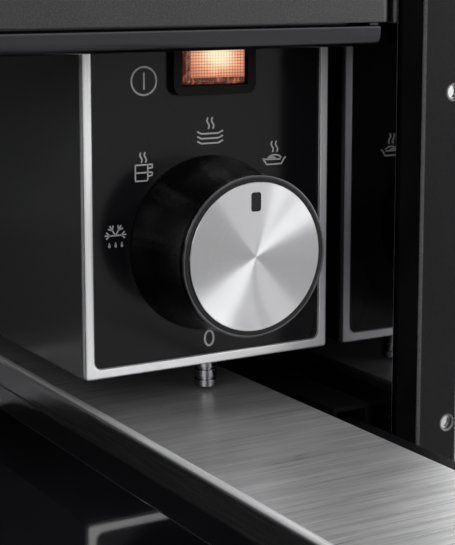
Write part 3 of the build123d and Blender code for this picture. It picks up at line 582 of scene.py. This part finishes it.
@dataclass(frozen=True)
class Fibrous(Finish):
    """Mineral wool or a woven sleeve.

    Args:
        strands: how many strands lie on a metre.
        depth: how deep their relief is.
    """

    strands: float = 500.0
    depth: float = 0.8 * MM

    def shader(self, net: Net) -> Field:
        """Tangled fibres from two crossed and stretched noises.

        Args:
            net: the material's net.

        Returns:
            The shader.
        """
        slow = self.strands * 0.12
        first = net.streaky((self.strands, slow, self.strands), 3.0)
        second = net.streaky((slow, self.strands, self.strands), 3.0)
        fibres = first * 0.5 + second * 0.5
        clumps = net.noise(net.place(), 40.0, 4.0)
        colour = net.blend(fibres.ramp(0.35, 0.65), shade(self.colour, 0.55), self.colour)
        colour = net.blend(clumps.ramp(0.4, 0.8, 0.0, 0.35), colour, shade(self.colour, 0.7))
        normal = net.relief(fibres + clumps, 0.8, self.depth)
        return net.surface(colour, self.roughness, {"Normal": normal})


@dataclass(frozen=True)
class Oxidised(Finish):
    """Metal that heat or air has coloured.

    Args:
        bloom: the colour of its oxide.
    """

    bloom: Colour = (0.05, 0.045, 0.06)

    def shader(self, net: Net) -> Field:
        """Patches of oxide over drawn or cast metal.

        Args:
            net: the material's net.

        Returns:
            The shader.
        """
        place = net.place()
        patches = net.noise(place, 70.0, 5.0, 0.65)
        pits = net.noise(place, 900.0, 3.0)
        colour = net.blend(patches.ramp(0.35, 0.7), self.colour, self.bloom)
        rough = self.roughness + patches.ramp(0.3, 0.8, -0.05, 0.2)
        normal = net.relief(pits, 0.4, 0.03 * MM, Normal=net.soft_edges(self.edge))
        return net.surface(colour, rough, {"Metallic": 0.9, "Normal": normal})


@dataclass(frozen=True)
class AmberLight(Finish):
    """Clear amber plastic, lit from behind by a small lamp, with a prismatic grid.

    Args:
        lamp: the lamp's place.
        pitch: width of one prism.
        window: half width and half height of the gridded part.
        border: how wide the step from that part to the rim is.
        pool: half width and half height of the lamp's pool of light.
    """

    lamp: Place = (0.0, 0.0, 0.0)
    pitch: float = 0.76 * MM
    window: Pair = (7.4 * MM, 5.5 * MM)
    border: float = 0.15 * MM
    pool: Pair = (6.2 * MM, 5.0 * MM)

    def shader(self, net: Net) -> Field:
        """Light falls off from the lamp; each prism is bright in its middle and dark round its edge.

        Args:
            net: the material's net.

        Returns:
            The shader.
        """
        offset = net.stretched((1.0, 1.0, 1.0), self.lamp)
        across, up = net.part(offset, 0), net.part(offset, 2)
        spread = ((across / self.pool[0]) ** 2.0 + (up / self.pool[1]) ** 2.0).root()
        cloud = net.streaky((260.0, 260.0, 260.0), 3.0, 0.6)
        reach = spread + (cloud - 0.5) * 0.5
        core, glow, edge = (1.0, 0.90, 0.60), (0.97, 0.47, 0.25), (0.56, 0.19, 0.12)
        light = net.blend(reach.ramp(0.30, 1.0), core, glow)
        light = net.blend(reach.ramp(0.75, 1.5), light, edge)
        cells = [abs((value * (math.pi / self.pitch)).sine()) for value in (across, up)]
        prism = (cells[0] * cells[1]).ramp(0.02, 0.60)
        dimmed = reach.ramp(0.2, 1.1, 0.22, 0.80)
        light = net.blend(dimmed * (1.0 - prism), light, (0.30, 0.075, 0.04))
        wide, high = [abs(value).ramp(half, half + self.border, 1.0, 0.0)
                      for value, half in zip((across, up), self.window)]
        inside = wide * high
        streaks = net.streaky((1500.0, 300.0, 500.0))
        rim = net.blend(streaks.ramp(0.45, 0.75), (0.045, 0.012, 0.007), (0.34, 0.11, 0.06))
        light = net.blend(inside, rim, light)
        unlit = (0.10, 0.025, 0.01, 1.0)
        return net.surface(unlit, self.roughness, {"Emission Color": light, "Emission Strength": 1.0,
                                                   "Coat Weight": 0.3})


@dataclass(frozen=True)
class Paper(Finish):
    """Plain studio paper that goes over into an even backdrop away from the part.

    Args:
        backdrop: brightness of the backdrop.
        middle: the place that the distances are measured from.
        near: distance where the backdrop starts to take over.
        far: distance where it has.
        dimming: share of the paper's colour that the camera sees.
    """

    backdrop: float = 0.84
    middle: Place = (0.0, -0.18, 0.0)
    near: float = 0.75
    far: float = 1.35
    dimming: float = 0.70

    def shader(self, net: Net) -> Field:
        """Fine paper; the camera sees the backdrop from a distance on, and glossy surfaces mirror it.

        Args:
            net: the material's net.

        Returns:
            The shader.
        """
        seen = net.node("LightPath", {}, {}, "Is Camera Ray")
        mirrored = net.node("LightPath", {}, {}, "Is Glossy Ray")
        fibres = net.noise(net.place(), 3000.0, 2.0)
        pale = net.blend(seen, self.colour, shade(self.colour, self.dimming))
        colour = net.blend(fibres.ramp(0.3, 0.7, 0.0, 0.06), pale, (0.5, 0.5, 0.5))
        reach = net.vector("LENGTH", {0: net.stretched((1.0, 1.0, 0.0), self.middle)}, "Value")
        paper = net.surface(colour, self.roughness, {"Specular IOR Level": 0.1})
        plain = net.node("Emission", {}, {"Color": grey(self.backdrop)})
        away = reach.ramp(self.near, self.far) * seen + mirrored
        return net.node("MixShader", {}, {0: away, 1: paper, 2: plain})


@dataclass(frozen=True)
class Ink(Finish):
    """Screen-printed ink, slightly uneven."""

    def shader(self, net: Net) -> Field:
        """Even pale ink with a fine mottle.

        Args:
            net: the material's net.

        Returns:
            The shader.
        """
        mottle = net.noise(net.place(), 2500.0, 2.0)
        colour = net.blend(mottle.ramp(0.3, 0.7), shade(self.colour, 0.85), self.colour)
        return net.surface(colour, self.roughness, {})


DARK_MIRROR = Polished("dark mirror sheet", (0.26, 0.26, 0.27), 0.035, 0.05 * MM, haze=0.03)
BOX_BLACK = Enamel("box enamel", (0.062, 0.062, 0.064), 0.18, gloss=1.0, peel=0.002 * MM)
GALVANISED = Galvanised("galvanised sheet", (0.46, 0.47, 0.48), 0.36)
TEXTURED_GREY = TexturedCoat("textured grey coat", (0.056, 0.056, 0.058), 0.30, metal=0.9)
TRIM_BLACK = Polished("black anodised trim", (0.050, 0.050, 0.054), 0.22, 0.5 * MM, haze=0.05)
# Its edges carry a painted highlight: a pale band along them.
STILE_GREY = TexturedCoat("dark textured coat", (0.006, 0.006, 0.007), 0.26, 1.4 * MM, gloss=0.12,
                          rubbed=(0.02, 0.02, 0.02), painted_edge_highlight=1.0 * MM)
SEAL_RUBBER = Moulded("seal rubber", (0.002, 0.002, 0.002), 0.8, gloss=0.0)
# Its edges carry a painted dark reflection: a near-black band along them.
BRIGHT_TRIM = Polished("satin trim", (0.95, 0.95, 0.96), 0.30, 1.1 * MM, haze=0.04, metal=0.45,
                       painted_dark_edge=0.5 * MM)
PIN_STEEL = Polished("polished pin", (0.34, 0.34, 0.35), 0.08, 0.3 * MM, haze=0.03)
RING_TRIM = Polished("polished ring", (0.09, 0.09, 0.095), 0.07, 0.35 * MM, haze=0.03)
DARK_PANEL = BlackGlass("dark panel glass", (0.004, 0.004, 0.005), 0.14, gloss=0.22)
BLACK_GLASS = BlackGlass("black floor glass", (0.003, 0.003, 0.004), 0.03)
BLACK_MOULDING = Moulded("black moulding", (0.022, 0.022, 0.022), 0.48)
SWITCH_BLACK = Moulded("switch moulding", (0.003, 0.003, 0.003), 0.6, gloss=0.15)
KNOB_BLACK = Moulded("knob moulding", (0.002, 0.002, 0.002), 0.24, 0.3 * MM, gloss=0.32,
                     grain=2600.0, depth=0.001 * MM)
KNOB_FACE = Turned("turned aluminium", (0.50, 0.50, 0.51), 0.17, axis=(238.0 * MM, 0.0, 75.2 * MM))
PLAIN_STEEL = Polished("plain steel", (0.58, 0.58, 0.60), 0.28)
PHENOLIC = Moulded("phenolic", (0.33, 0.22, 0.12), 0.45, grain=900.0, depth=0.05 * MM)
LAMP_GLASS = Moulded("lamp glass", (1.0, 0.45, 0.18), 0.1, 0.1 * MM, grain=900.0, depth=0.0, sheen=0.6)
LEDGE_STEEL = Brushed("brushed ledge steel", (0.66, 0.66, 0.67), 0.31, slope=0.26, metal=0.70)
# Its top carries a painted highlight: faces that point up are painted paler.
RAIL_STEEL = Brushed("brushed rail steel", (0.46, 0.46, 0.47), 0.20, 0.8 * MM, grain=Grain.DEPTH,
                     contrast=0.05, slope=0.07, metal=0.95, painted_top_highlight=0.95)
FRONT_STEEL = Brushed("brushed front steel", (0.60, 0.60, 0.61), 0.24)
RUNNER_BLACK = Enamel("black runner zinc", (0.003, 0.003, 0.004), 0.55, gloss=0.10)
MINERAL_WOOL = Fibrous("mineral wool", (0.62, 0.56, 0.40), 0.95)
FAN_ALUMINIUM = Brushed("fan aluminium", (0.66, 0.66, 0.67), 0.36, grain=Grain.UPRIGHT)
MOTOR_IRON = Oxidised("motor iron", (0.25, 0.26, 0.27), 0.45, bloom=(0.12, 0.12, 0.13))
HEATER_SHEATH = Oxidised("heater sheath", (0.28, 0.24, 0.22), 0.42, bloom=(0.07, 0.05, 0.08))
COPPER = Oxidised("drawn copper", (0.70, 0.36, 0.22), 0.28, bloom=(0.36, 0.17, 0.10))
WHITE_MOULDING = Moulded("white moulding", (0.74, 0.74, 0.70), 0.45)
WIRE_SLEEVE = Fibrous("woven wire sleeve", (0.10, 0.10, 0.11), 0.8, strands=1600.0, depth=0.3 * MM)
PRINT_GREY = Ink("printed grey", (0.45, 0.45, 0.46), 0.5)


def join_grids(name: str, grids: list[tuple[np.ndarray, bool, bool]], body: str,
               finish: Finish) -> bpy.types.Object:
    """Makes one piece from grids of points, whose neighbours are joined by four-sided flat faces.

    Args:
        name: the piece's name.
        grids: for each, rows x columns x 3 numbers, and whether its rows and its columns close on
            themselves. A row of equal points closes an end.
        body: the body it rides on.
        finish: its finish.

    Returns:
        The piece.
    """
    corners, faces, start = [], [], 0
    for points, closed_rows, closed_columns in grids:
        rows, columns = points.shape[:2]
        index = start + np.arange(rows * columns).reshape(rows, columns)
        if closed_rows:
            index = np.vstack([index, index[:1]])
        if closed_columns:
            index = np.hstack([index, index[:, :1]])
        quads = np.stack([index[:-1, :-1], index[1:, :-1], index[1:, 1:], index[:-1, 1:]], axis=-1)
        faces.append(quads.reshape(-1, 4))
        corners.append(points.reshape(-1, 3))
        start += rows * columns
    mesh = bpy.data.meshes.new(name)
    mesh.from_pydata(np.concatenate(corners).tolist(), [], np.concatenate(faces).tolist())
    work = bmesh.new()
    work.from_mesh(mesh)
    bmesh.ops.remove_doubles(work, verts=work.verts, dist=1e-7)
    bmesh.ops.recalc_face_normals(work, faces=work.faces)
    work.to_mesh(mesh)
    work.free()
    mesh.polygons.foreach_set("use_smooth", [False] * len(mesh.polygons))
    mesh.update()
    piece = bpy.data.objects.new(name, mesh)
    bpy.context.collection.objects.link(piece)
    paint(piece, finish)
    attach(piece, body)
    log.info("%s: %d faces on %s", name, len(mesh.polygons), body)
    return piece


def gathered(row: np.ndarray) -> np.ndarray:
    """As many points as the row has, all at its middle: such a row closes an end."""
    return np.broadcast_to(row.mean(axis=0), row.shape)


def stroke(path: np.ndarray, width: float, closed: bool = False, thickness: float = 0.04 * MM) -> np.ndarray:
    """Flat line of ink along a path: its four edges stand half a width either side of the path.

    Args:
        path: points x 2 numbers, across and up.
        width: the line's width.
        closed: whether its end runs on into its start.
        thickness: how far the ink stands proud of what it lies on.

    Returns:
        Grid of points: across, towards the viewer, up.
    """
    if closed:
        ahead = np.roll(path, -1, 0) - np.roll(path, 1, 0)
    else:
        ahead = np.gradient(path, axis=0)
    ahead /= np.linalg.norm(ahead, axis=1, keepdims=True)
    side = np.stack([-ahead[:, 1], ahead[:, 0]], axis=1) * width / 2
    left, right = path + side, path - side
    rows = np.zeros((len(path), 4, 3))
    edges = ((left, 0.0), (left, thickness), (right, thickness), (right, 0.0))
    for column, (edge, height) in enumerate(edges):
        rows[:, column, ::2] = edge
        rows[:, column, 1] = -height
    if closed:
        return rows
    return np.stack([gathered(rows[0]), *rows, gathered(rows[-1])])


def rod(outline: np.ndarray, levels: list[Pair]) -> np.ndarray:
    """Bar along Y with closed ends: at each level its outline is scaled about its middle by a share.

    Args:
        outline: points x 2 numbers, across and up.
        levels: for each ring, its share of the full outline and its place along Y.

    Returns:
        Grid of points.
    """
    middle = outline.mean(axis=0)
    share = np.array([0.0] + [level[0] for level in levels] + [0.0])[:, None, None]
    depth = np.array([levels[0][1]] + [level[1] for level in levels] + [levels[-1][1]])
    flat = middle + (outline[None] - middle) * share
    along = np.broadcast_to(depth[:, None], flat.shape[:2])
    return np.stack([flat[..., 0], along, flat[..., 1]], axis=-1)


def polyline(*corners: Pair, steps: int = 6) -> np.ndarray:
    """Straight runs between corners, each in equal steps.

    Args:
        corners: the corners, in millimetres.
        steps: how many steps a run has.

    Returns:
        The points, in metres.
    """
    points = np.array(corners, float)
    along = np.linspace(0, len(points) - 1, (len(points) - 1) * steps + 1)
    whole = np.arange(len(points))
    return np.stack([np.interp(along, whole, points[:, k]) for k in (0, 1)], axis=1) * MM


def arc(centre: Pair, radii: Pair, start: float, end: float, steps: int = 32) -> np.ndarray:
    """Part of an ellipse: centre plus radii times the angle's cosine and sine, made metres from mm."""
    angle = np.radians(np.linspace(start, end, steps))
    return np.stack([centre[0] + radii[0] * np.cos(angle), centre[1] + radii[1] * np.sin(angle)], axis=1) * MM


def heading(angle: float) -> np.ndarray:
    """Direction at an angle in radians: its cosine across and its sine up."""
    return np.array([math.cos(angle), math.sin(angle)])


def ring(centre: Pair, radii: Pair, steps: int) -> tuple[np.ndarray, bool]:
    """A whole ellipse, which closes on itself: its last point stands one step before its first."""
    return arc(centre, radii, 0, 360 - 360 / steps, steps), True


def runs(*paths: np.ndarray) -> Lines:
    """Paths as lines that don't close on themselves."""
    return [(path, False) for path in paths]


@dataclass
class Symbols:
    """The printed symbols round the knob and by the switch, in millimetres from their centres.

    Args:
        dial: centre of the ring of symbols.
        reach: radius of that ring.
        power: centre of the power symbol.
        line: width of a printed line.
        panel_y: front face of the panel.
    """

    dial: Pair = (238.0, 76.9)
    reach: float = 27.0
    power: Pair = (219.4, 117.7)
    line: float = 0.42
    panel_y: float = -235.0

    def steam(self, low: float) -> Lines:
        """Two wavy lines of steam: the sideways place is a sine of the height.

        Args:
            low: the height that they start at.

        Returns:
            The lines.
        """
        tall, sway = 2.9, 0.32
        up = np.linspace(0.0, tall, 24)
        wave = sway * np.sin(up / tall * 2 * math.pi)
        return runs(*(np.stack([side + wave, low + up], axis=1) * MM for side in (-0.62, 0.72)))

    def plates(self) -> Lines:
        """Three stacked plates under steam."""
        plates = [polyline((-3.8, z + 0.62), (-2.6, z), (2.4, z), (3.8, z + 0.62))
                  for z in (-0.3, -1.55, -2.8)]
        return runs(*plates) + self.steam(0.9)

    def cups(self) -> Lines:
        """Two stacked cups with handles under steam.

        Returns:
            The lines.
        """
        walls = polyline((-2.4, 1.5), (-2.4, -3.0), (1.2, -3.0), (1.5, -2.6), (1.5, 1.5), (-2.4, 1.5))
        middle = polyline((-2.4, -0.7), (2.9, -0.7))
        top = polyline((1.5, 1.5), (2.9, 1.5), (2.9, 0.6), (1.7, 0.45))
        low = polyline((2.9, -0.7), (2.8, -1.6), (1.7, -1.75))
        return runs(walls, middle, top, low) + self.steam(2.1)

    def food(self) -> Lines:
        """A heaped dish under steam.

        Returns:
            The lines.
        """
        dish = polyline((-3.4, 0.2), (-2.3, -1.2), (2.2, -1.2), (3.2, 0.3), (3.6, 0.5))
        rim = polyline((-3.6, 0.3), (-2.2, 0.15), (2.0, 0.05))
        heap = arc((0.1, 0.1), (2.1, 1.15), 12, 165)
        slice_line = arc((-0.6, 0.1), (1.1, 0.55), 0, 170, 16)
        return runs(dish, rim, heap, slice_line) + self.steam(2.0)

    def thaw(self) -> Lines:
        """Half a snow crystal over three drops.

        Returns:
            The lines.
        """
        lines = []
        for turn in (2.0, 58.0, 122.0, 178.0):
            angle = math.radians(turn)
            arm = heading(angle)
            lines += runs(np.linspace(0.0, 3.0, 8)[:, None] * arm * MM)
            for lean in (-40.0, 40.0):
                twig = heading(angle + math.radians(lean))
                lines += runs((arm * 1.6 + np.linspace(0.0, 1.3, 5)[:, None] * twig) * MM)
        for side in (-1.75, 0.0, 1.75):
            lines.append(ring((side, -2.55), (0.16, 0.30), 20))
            lines += runs(polyline((side, -2.4), (side, -1.75), steps=4))
        return lines

    def off(self) -> Lines:
        """The nought of the off place."""
        return [ring((0.0, 0.0), (1.3, 1.95), 48)]

    def main_switch(self) -> Lines:
        """A bar in a ring."""
        return [ring((0.0, 0.0), (3.5, 3.5), 64)] + runs(polyline((0.0, -2.1), (0.0, 2.1)))

    def build(self) -> None:
        """Prints every symbol on the panel; the numbers are its turn round the dial, weight and shift."""
        cups = [(path * 0.9 - np.array([0.0, 0.3]) * MM, closed) for path, closed in self.cups()]
        placed = [("off", self.off(), 270.0, 1.35, 0.0), ("thaw", self.thaw(), 174.7, 0.85, 0.0),
                  ("cups", cups, 136.0, 0.9, 0.4), ("plates", self.plates(), 90.0, 1.0, 0.4),
                  ("food", self.food(), 44.0, 0.95, 0.4)]
        for name, lines, turn, weight, shift in placed:
            centre = np.array(self.dial) + self.reach * heading(math.radians(turn)) + (shift, 0.0)
            self.print_symbol(name, lines, centre, weight)
        self.print_symbol("power", self.main_switch(), self.power, 1.1)

    def print_symbol(self, name: str, lines: Lines, centre: Pair, weight: float) -> None:
        """Makes one symbol.

        Args:
            name: what it stands for.
            lines: its lines, and whether each closes on itself.
            centre: its centre on the panel, in millimetres.
            weight: how heavy its lines are.
        """
        shift = np.array([centre[0], self.panel_y, centre[1]]) * MM
        width = self.line * weight * MM
        grids = [(stroke(path, width, closed) + shift, closed, True) for path, closed in lines]
        join_grids(f"symbol_{name}", grids, "carcass", PRINT_GREY)


@dataclass
class Rocker:
    """The clear amber rocker: a bevelled block with a window of small prisms, in millimetres.

    Args:
        centre: its middle across and up.
        pivot_y: depth of its pivot.
        tilt: how far it is pressed at its left, in degrees.
        half: half of its width and height.
        front: its front face before it is tilted.
        depth: from its front to its back.
        window: half of the gridded window's width and height.
        prisms: number of prisms across and up.
        lamp_y: depth of the lamp behind it.
        lamp_rise: how far the lamp stands over its middle.
    """

    centre: Pair = (238.8, 123.0)
    pivot_y: float = -230.8
    tilt: float = -7.0
    half: Pair = (8.5, 6.5)
    front: float = -238.6
    depth: float = 10.0
    window: Pair = (7.45, 5.5)
    prisms: tuple[int, int] = (20, 15)
    lamp_y: float = -230.0
    lamp_rise: float = 0.8

    def outline(self, inset: float, y: float) -> np.ndarray:
        """A rectangle with small round corners, which shrink with the inset.

        Args:
            inset: how far it stands in from the block's sides.
            y: its depth.

        Returns:
            Its points.
        """
        radius = max(0.15, 0.6 - inset * 0.5)
        wide, high = self.half[0] - inset - radius, self.half[1] - inset - radius
        turn = np.radians(np.arange(0, 360, 90)[:, None] + np.linspace(0, 90, 7)[None, :])
        across = np.array([1, -1, -1, 1])[:, None] * wide + radius * np.cos(turn)
        up = np.array([1, 1, -1, -1])[:, None] * high + radius * np.sin(turn)
        return np.stack([across.ravel(), np.full(across.size, y), up.ravel()], axis=1)

    def tilted(self, points: np.ndarray) -> np.ndarray:
        """Turns points about the pivot and puts them in place.

        Args:
            points: places in millimetres, across and up from the middle.

        Returns:
            The places in metres.
        """
        angle = math.radians(self.tilt)
        across, y, up = points[..., 0], points[..., 1] - self.pivot_y, points[..., 2]
        turned = np.stack([across * math.cos(angle) - y * math.sin(angle) + self.centre[0],
                           across * math.sin(angle) + y * math.cos(angle) + self.pivot_y,
                           up + self.centre[1]], axis=-1)
        return turned * MM

    def prism_window(self) -> np.ndarray:
        """Rows of small pyramids: a corner of a fine grid stands out where its row and column are odd.

        Returns:
            Grid of points.
        """
        low, tall = 0.16, 0.14
        columns, rows = self.prisms[0] * 2 + 1, self.prisms[1] * 2 + 1
        across, up = np.meshgrid(np.linspace(-self.window[0], self.window[0], columns),
                                 np.linspace(-self.window[1], self.window[1], rows))
        peaks = (np.arange(columns) % 2)[None, :] * (np.arange(rows) % 2)[:, None]
        return np.stack([across, self.front + low - tall * peaks, up], axis=-1)

    def build(self) -> None:
        """Makes the block and its window as one piece in place of the plain rocker.

        The block's rings go from its back to the window's frame: each has an inset and a depth.
        """
        levels = [(0.2, self.depth - 0.05), (0.0, self.depth - 0.3), (0.0, 0.9), (0.05, 0.75), (0.5, 0.12),
                  (0.6, 0.0), (0.85, 0.0), (0.95, 0.16)]
        rings = [self.outline(inset, self.front + down) for inset, down in levels]
        hollow = np.array([0.0, 0.05, 0.0])
        body = self.tilted(np.stack([gathered(rings[0]), *rings, gathered(rings[-1]) + hollow]))
        lamp = (self.centre[0] * MM, self.lamp_y * MM, (self.centre[1] + self.lamp_rise) * MM)
        finish = AmberLight("lit amber lens", (1.0, 0.4, 0.15), 0.18, lamp=lamp)
        grids = [(body, False, True), (self.tilted(self.prism_window()), False, False)]
        piece = join_grids("amber_rocker", grids, "rocker", finish)
        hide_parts("switch_rocker")


@dataclass
class Controls:
    """The control box and what it holds."""

    def build(self) -> None:
        """Dresses the controls and adds their fine pieces."""
        BOX_BLACK.dress("control_box")
        BRIGHT_TRIM.dress("panel_bezel")
        PIN_STEEL.dress("hold_down_pin")
        RING_TRIM.dress("knob_ring")
        DARK_PANEL.dress("control_panel")
        BLACK_MOULDING.dress("panel_carrier")
        KNOB_BLACK.dress("knob_body")
        SWITCH_BLACK.dress("switch_housing")
        KNOB_FACE.dress("knob_cap")
        PLAIN_STEEL.dress("knob_shaft")
        PHENOLIC.dress("thermostat")
        LAMP_GLASS.dress("switch_lamp")
        Symbols().build()
        Rocker().build()


@dataclass
class Carcass:
    """The fixed housing, with the small rounded tab at the top of its right wall, in millimetres.

    Args:
        wall_x: the wall's outer face.
        tab_half: half of the tab's width, which is the radius of its round low end.
        tab_ends: heights of its low end and its top.
        tab_depths: its front face, where its bevel ends, and its back face.
        tab_face: share of the outline that its front face keeps.
    """

    wall_x: float = 277.0
    tab_half: float = 0.7
    tab_ends: Pair = (131.8, 139.9)
    tab_depths: tuple[float, float, float] = (-262.4, -262.1, -258.0)
    tab_face: float = 0.86

    def build(self) -> None:
        """Dresses the housing's sheets, trims and seals, and adds the tab."""
        GALVANISED.dress("carcass_base", "carcass_top", "carcass_back", "rear_baffle")
        DARK_MIRROR.dress("carcass_right_side", "carcass_left_side")
        PLAIN_STEEL.dress("back_screws")
        TEXTURED_GREY.dress("top_front_rail")
        STILE_GREY.dress("right_stile", "left_stile")
        TRIM_BLACK.dress("top_trim_bar")
        SEAL_RUBBER.dress("side_seals")
        self.tab()

    def tab(self) -> None:
        """Makes the tab: a bar with a round low end and a bevelled front."""
        half, (low, high) = self.tab_half, self.tab_ends
        centre = self.wall_x - half
        bottom = arc((centre, low + half), (half, half), 180, 360, 16)
        corners = [[[(centre + side) * MM, high * MM]] for side in (-half, half)]
        outline = np.concatenate([corners[0], bottom, corners[1]])
        levels = [(share, depth * MM) for share, depth in zip((self.tab_face, 1.0, 1.0), self.tab_depths)]
        grid = (rod(outline, levels), False, True)
        join_grids("wall_tab", [grid], "carcass", TEXTURED_GREY)


@dataclass
class Drawer:
    """The drawer, its front and its runners."""

    def build(self) -> None:
        """Dresses the drawer."""
        GALVANISED.dress("drawer_pan", "front_brackets", "front_carrier")
        LEDGE_STEEL.dress("ledge_plate")
        RAIL_STEEL.dress("glass_rail")
        FRONT_STEEL.dress("front_inner_panel", "front_trims")
        BLACK_GLASS.dress("glass_floor", "front_glass")
        MINERAL_WOOL.dress("floor_insulation")
        SEAL_RUBBER.dress("front_bumpers")
        for side in ("right", "left"):
            RUNNER_BLACK.dress(f"{side}_runner_outer", f"{side}_runner_middle", f"{side}_runner_inner")
            PLAIN_STEEL.dress(f"{side}_outer_cage", f"{side}_inner_cage")
        PLAIN_STEEL.dress("runner_screws", "drawer_screws")


@dataclass
class Warmth:
    """The fan, the heater and what else stands at the back."""

    def build(self) -> None:
        """Dresses the works at the back."""
        FAN_ALUMINIUM.dress("fan_impeller")
        MOTOR_IRON.dress("fan_motor")
        HEATER_SHEATH.dress("ring_heater")
        COPPER.dress("sensor_bulb")
        BLACK_MOULDING.dress("latch_body", "cord_gland")
        WHITE_MOULDING.dress("latch_plunger", "terminal_block")
        WIRE_SLEEVE.dress("wiring_loom")


@dataclass
class Studio:
    """Floor, lamps and camera.

    Args:
        eye: the camera's place.
        turn: how far it is turned to the right of +Y, in degrees.
        dip: how far it looks down, in degrees.
        focal: focal length, in the picture's pixels.
        height: the picture's height in pixels.
        sensor: height that the frame stands for, in millimetres.
        rise: shift of the frame upwards, as a share of its height.
        sky: brightness of the soft light from all round.
        backdrop: brightness of what the camera sees behind the part.
    """

    eye: Place = (0.0476, -0.5682, 0.1442)
    turn: float = 30.46
    dip: float = 8.22
    focal: float = 1504.0
    height: float = 545.0
    sensor: float = 36.0
    rise: float = -0.15
    sky: float = 0.30
    backdrop: float = 0.84

    def camera(self) -> None:
        """Makes the camera."""
        data = bpy.data.cameras.new("camera")
        data.lens = self.focal * self.sensor / self.height
        data.sensor_width = self.sensor
        data.shift_y = self.rise
        data.clip_start = 0.01
        made = bpy.data.objects.new("camera", data)
        made.location = self.eye
        made.rotation_euler = (math.radians(90.0 - self.dip), 0.0, math.radians(-self.turn))
        bpy.context.collection.objects.link(made)
        bpy.context.scene.camera = made

    def lamp(self, name: str, place: Place, aim: Place, size: Pair, power: float) -> None:
        """Adds a soft rectangular lamp.

        Args:
            name: its name.
            place: its centre.
            aim: the point it faces.
            size: its width and height.
            power: its power in watts.
        """
        data = bpy.data.lights.new(name, "AREA")
        data.shape = "RECTANGLE"
        data.size, data.size_y = size
        data.energy = power
        made = bpy.data.objects.new(name, data)
        made.location = place
        made.rotation_mode = "QUATERNION"
        made.rotation_quaternion = (Vector(place) - Vector(aim)).to_track_quat("Z", "Y")
        made.visible_camera = False
        bpy.context.collection.objects.link(made)

    def floor(self) -> None:
        """Lays a wide pale floor under the part."""
        half, low = 12.0, -0.6 * MM
        mesh = bpy.data.meshes.new("studio_floor")
        corners = [(-half, -half, low), (half, -half, low), (half, half, low), (-half, half, low)]
        mesh.from_pydata(corners, [], [(0, 1, 2, 3)])
        floor = bpy.data.objects.new("studio_floor", mesh)
        bpy.context.collection.objects.link(floor)
        paint(floor, Paper("studio paper", (0.80, 0.80, 0.80), 0.9, backdrop=self.backdrop))

    def world(self) -> None:
        """Sets an even soft sky, in whose place the camera sees the backdrop."""
        world = bpy.data.worlds.new("studio")
        world.use_nodes = True
        nodes, links = world.node_tree.nodes, world.node_tree.links
        path, mix = nodes.new("ShaderNodeLightPath"), nodes.new("ShaderNodeMix")
        mix.data_type = "RGBA"
        mix.inputs[6].default_value = grey(self.sky)
        mix.inputs[7].default_value = grey(self.backdrop)
        links.new(path.outputs["Is Camera Ray"], mix.inputs[0])
        links.new(mix.outputs[2], nodes["Background"].inputs["Color"])
        bpy.context.scene.world = world

    def build(self) -> None:
        """Sets up the studio."""
        self.camera()
        self.floor()
        self.world()
        knob = (0.238, -0.258, 0.075)
        self.lamp("high", (0.93, -1.42, 0.73), knob, (1.25, 1.0), 6.4)
        self.lamp("side", (1.38, -0.80, 0.46), knob, (0.85, 0.75), 6.0)
        self.lamp("low", (1.36, -0.92, 0.18), knob, (0.6, 0.30), 0.9)
        self.lamp("top", (-0.3, -0.4, 1.6), (0.0, -0.3, 0.0), (1.6, 1.6), 10.0)
        self.lamp("back", (1.22, 0.55, 0.66), (0.24, -0.42, 0.03), (1.6, 1.2), 9.0)
        self.lamp("left", (-0.75, -1.25, 0.60), (0.2, -0.2, 0.08), (0.9, 0.7), 6.0)
        bpy.context.scene.view_settings.view_transform = "Standard"


def main() -> None:
    """Builds the studio and dresses the part, one sub-assembly after another."""
    logging.basicConfig(level=logging.INFO, format="%(message)s")
    for stage in (Studio(), Carcass(), Controls(), Drawer(), Warmth()):
        stage.build()
        log.info("%s done", type(stage).__name__)


if __name__ == "__main__":
    main()
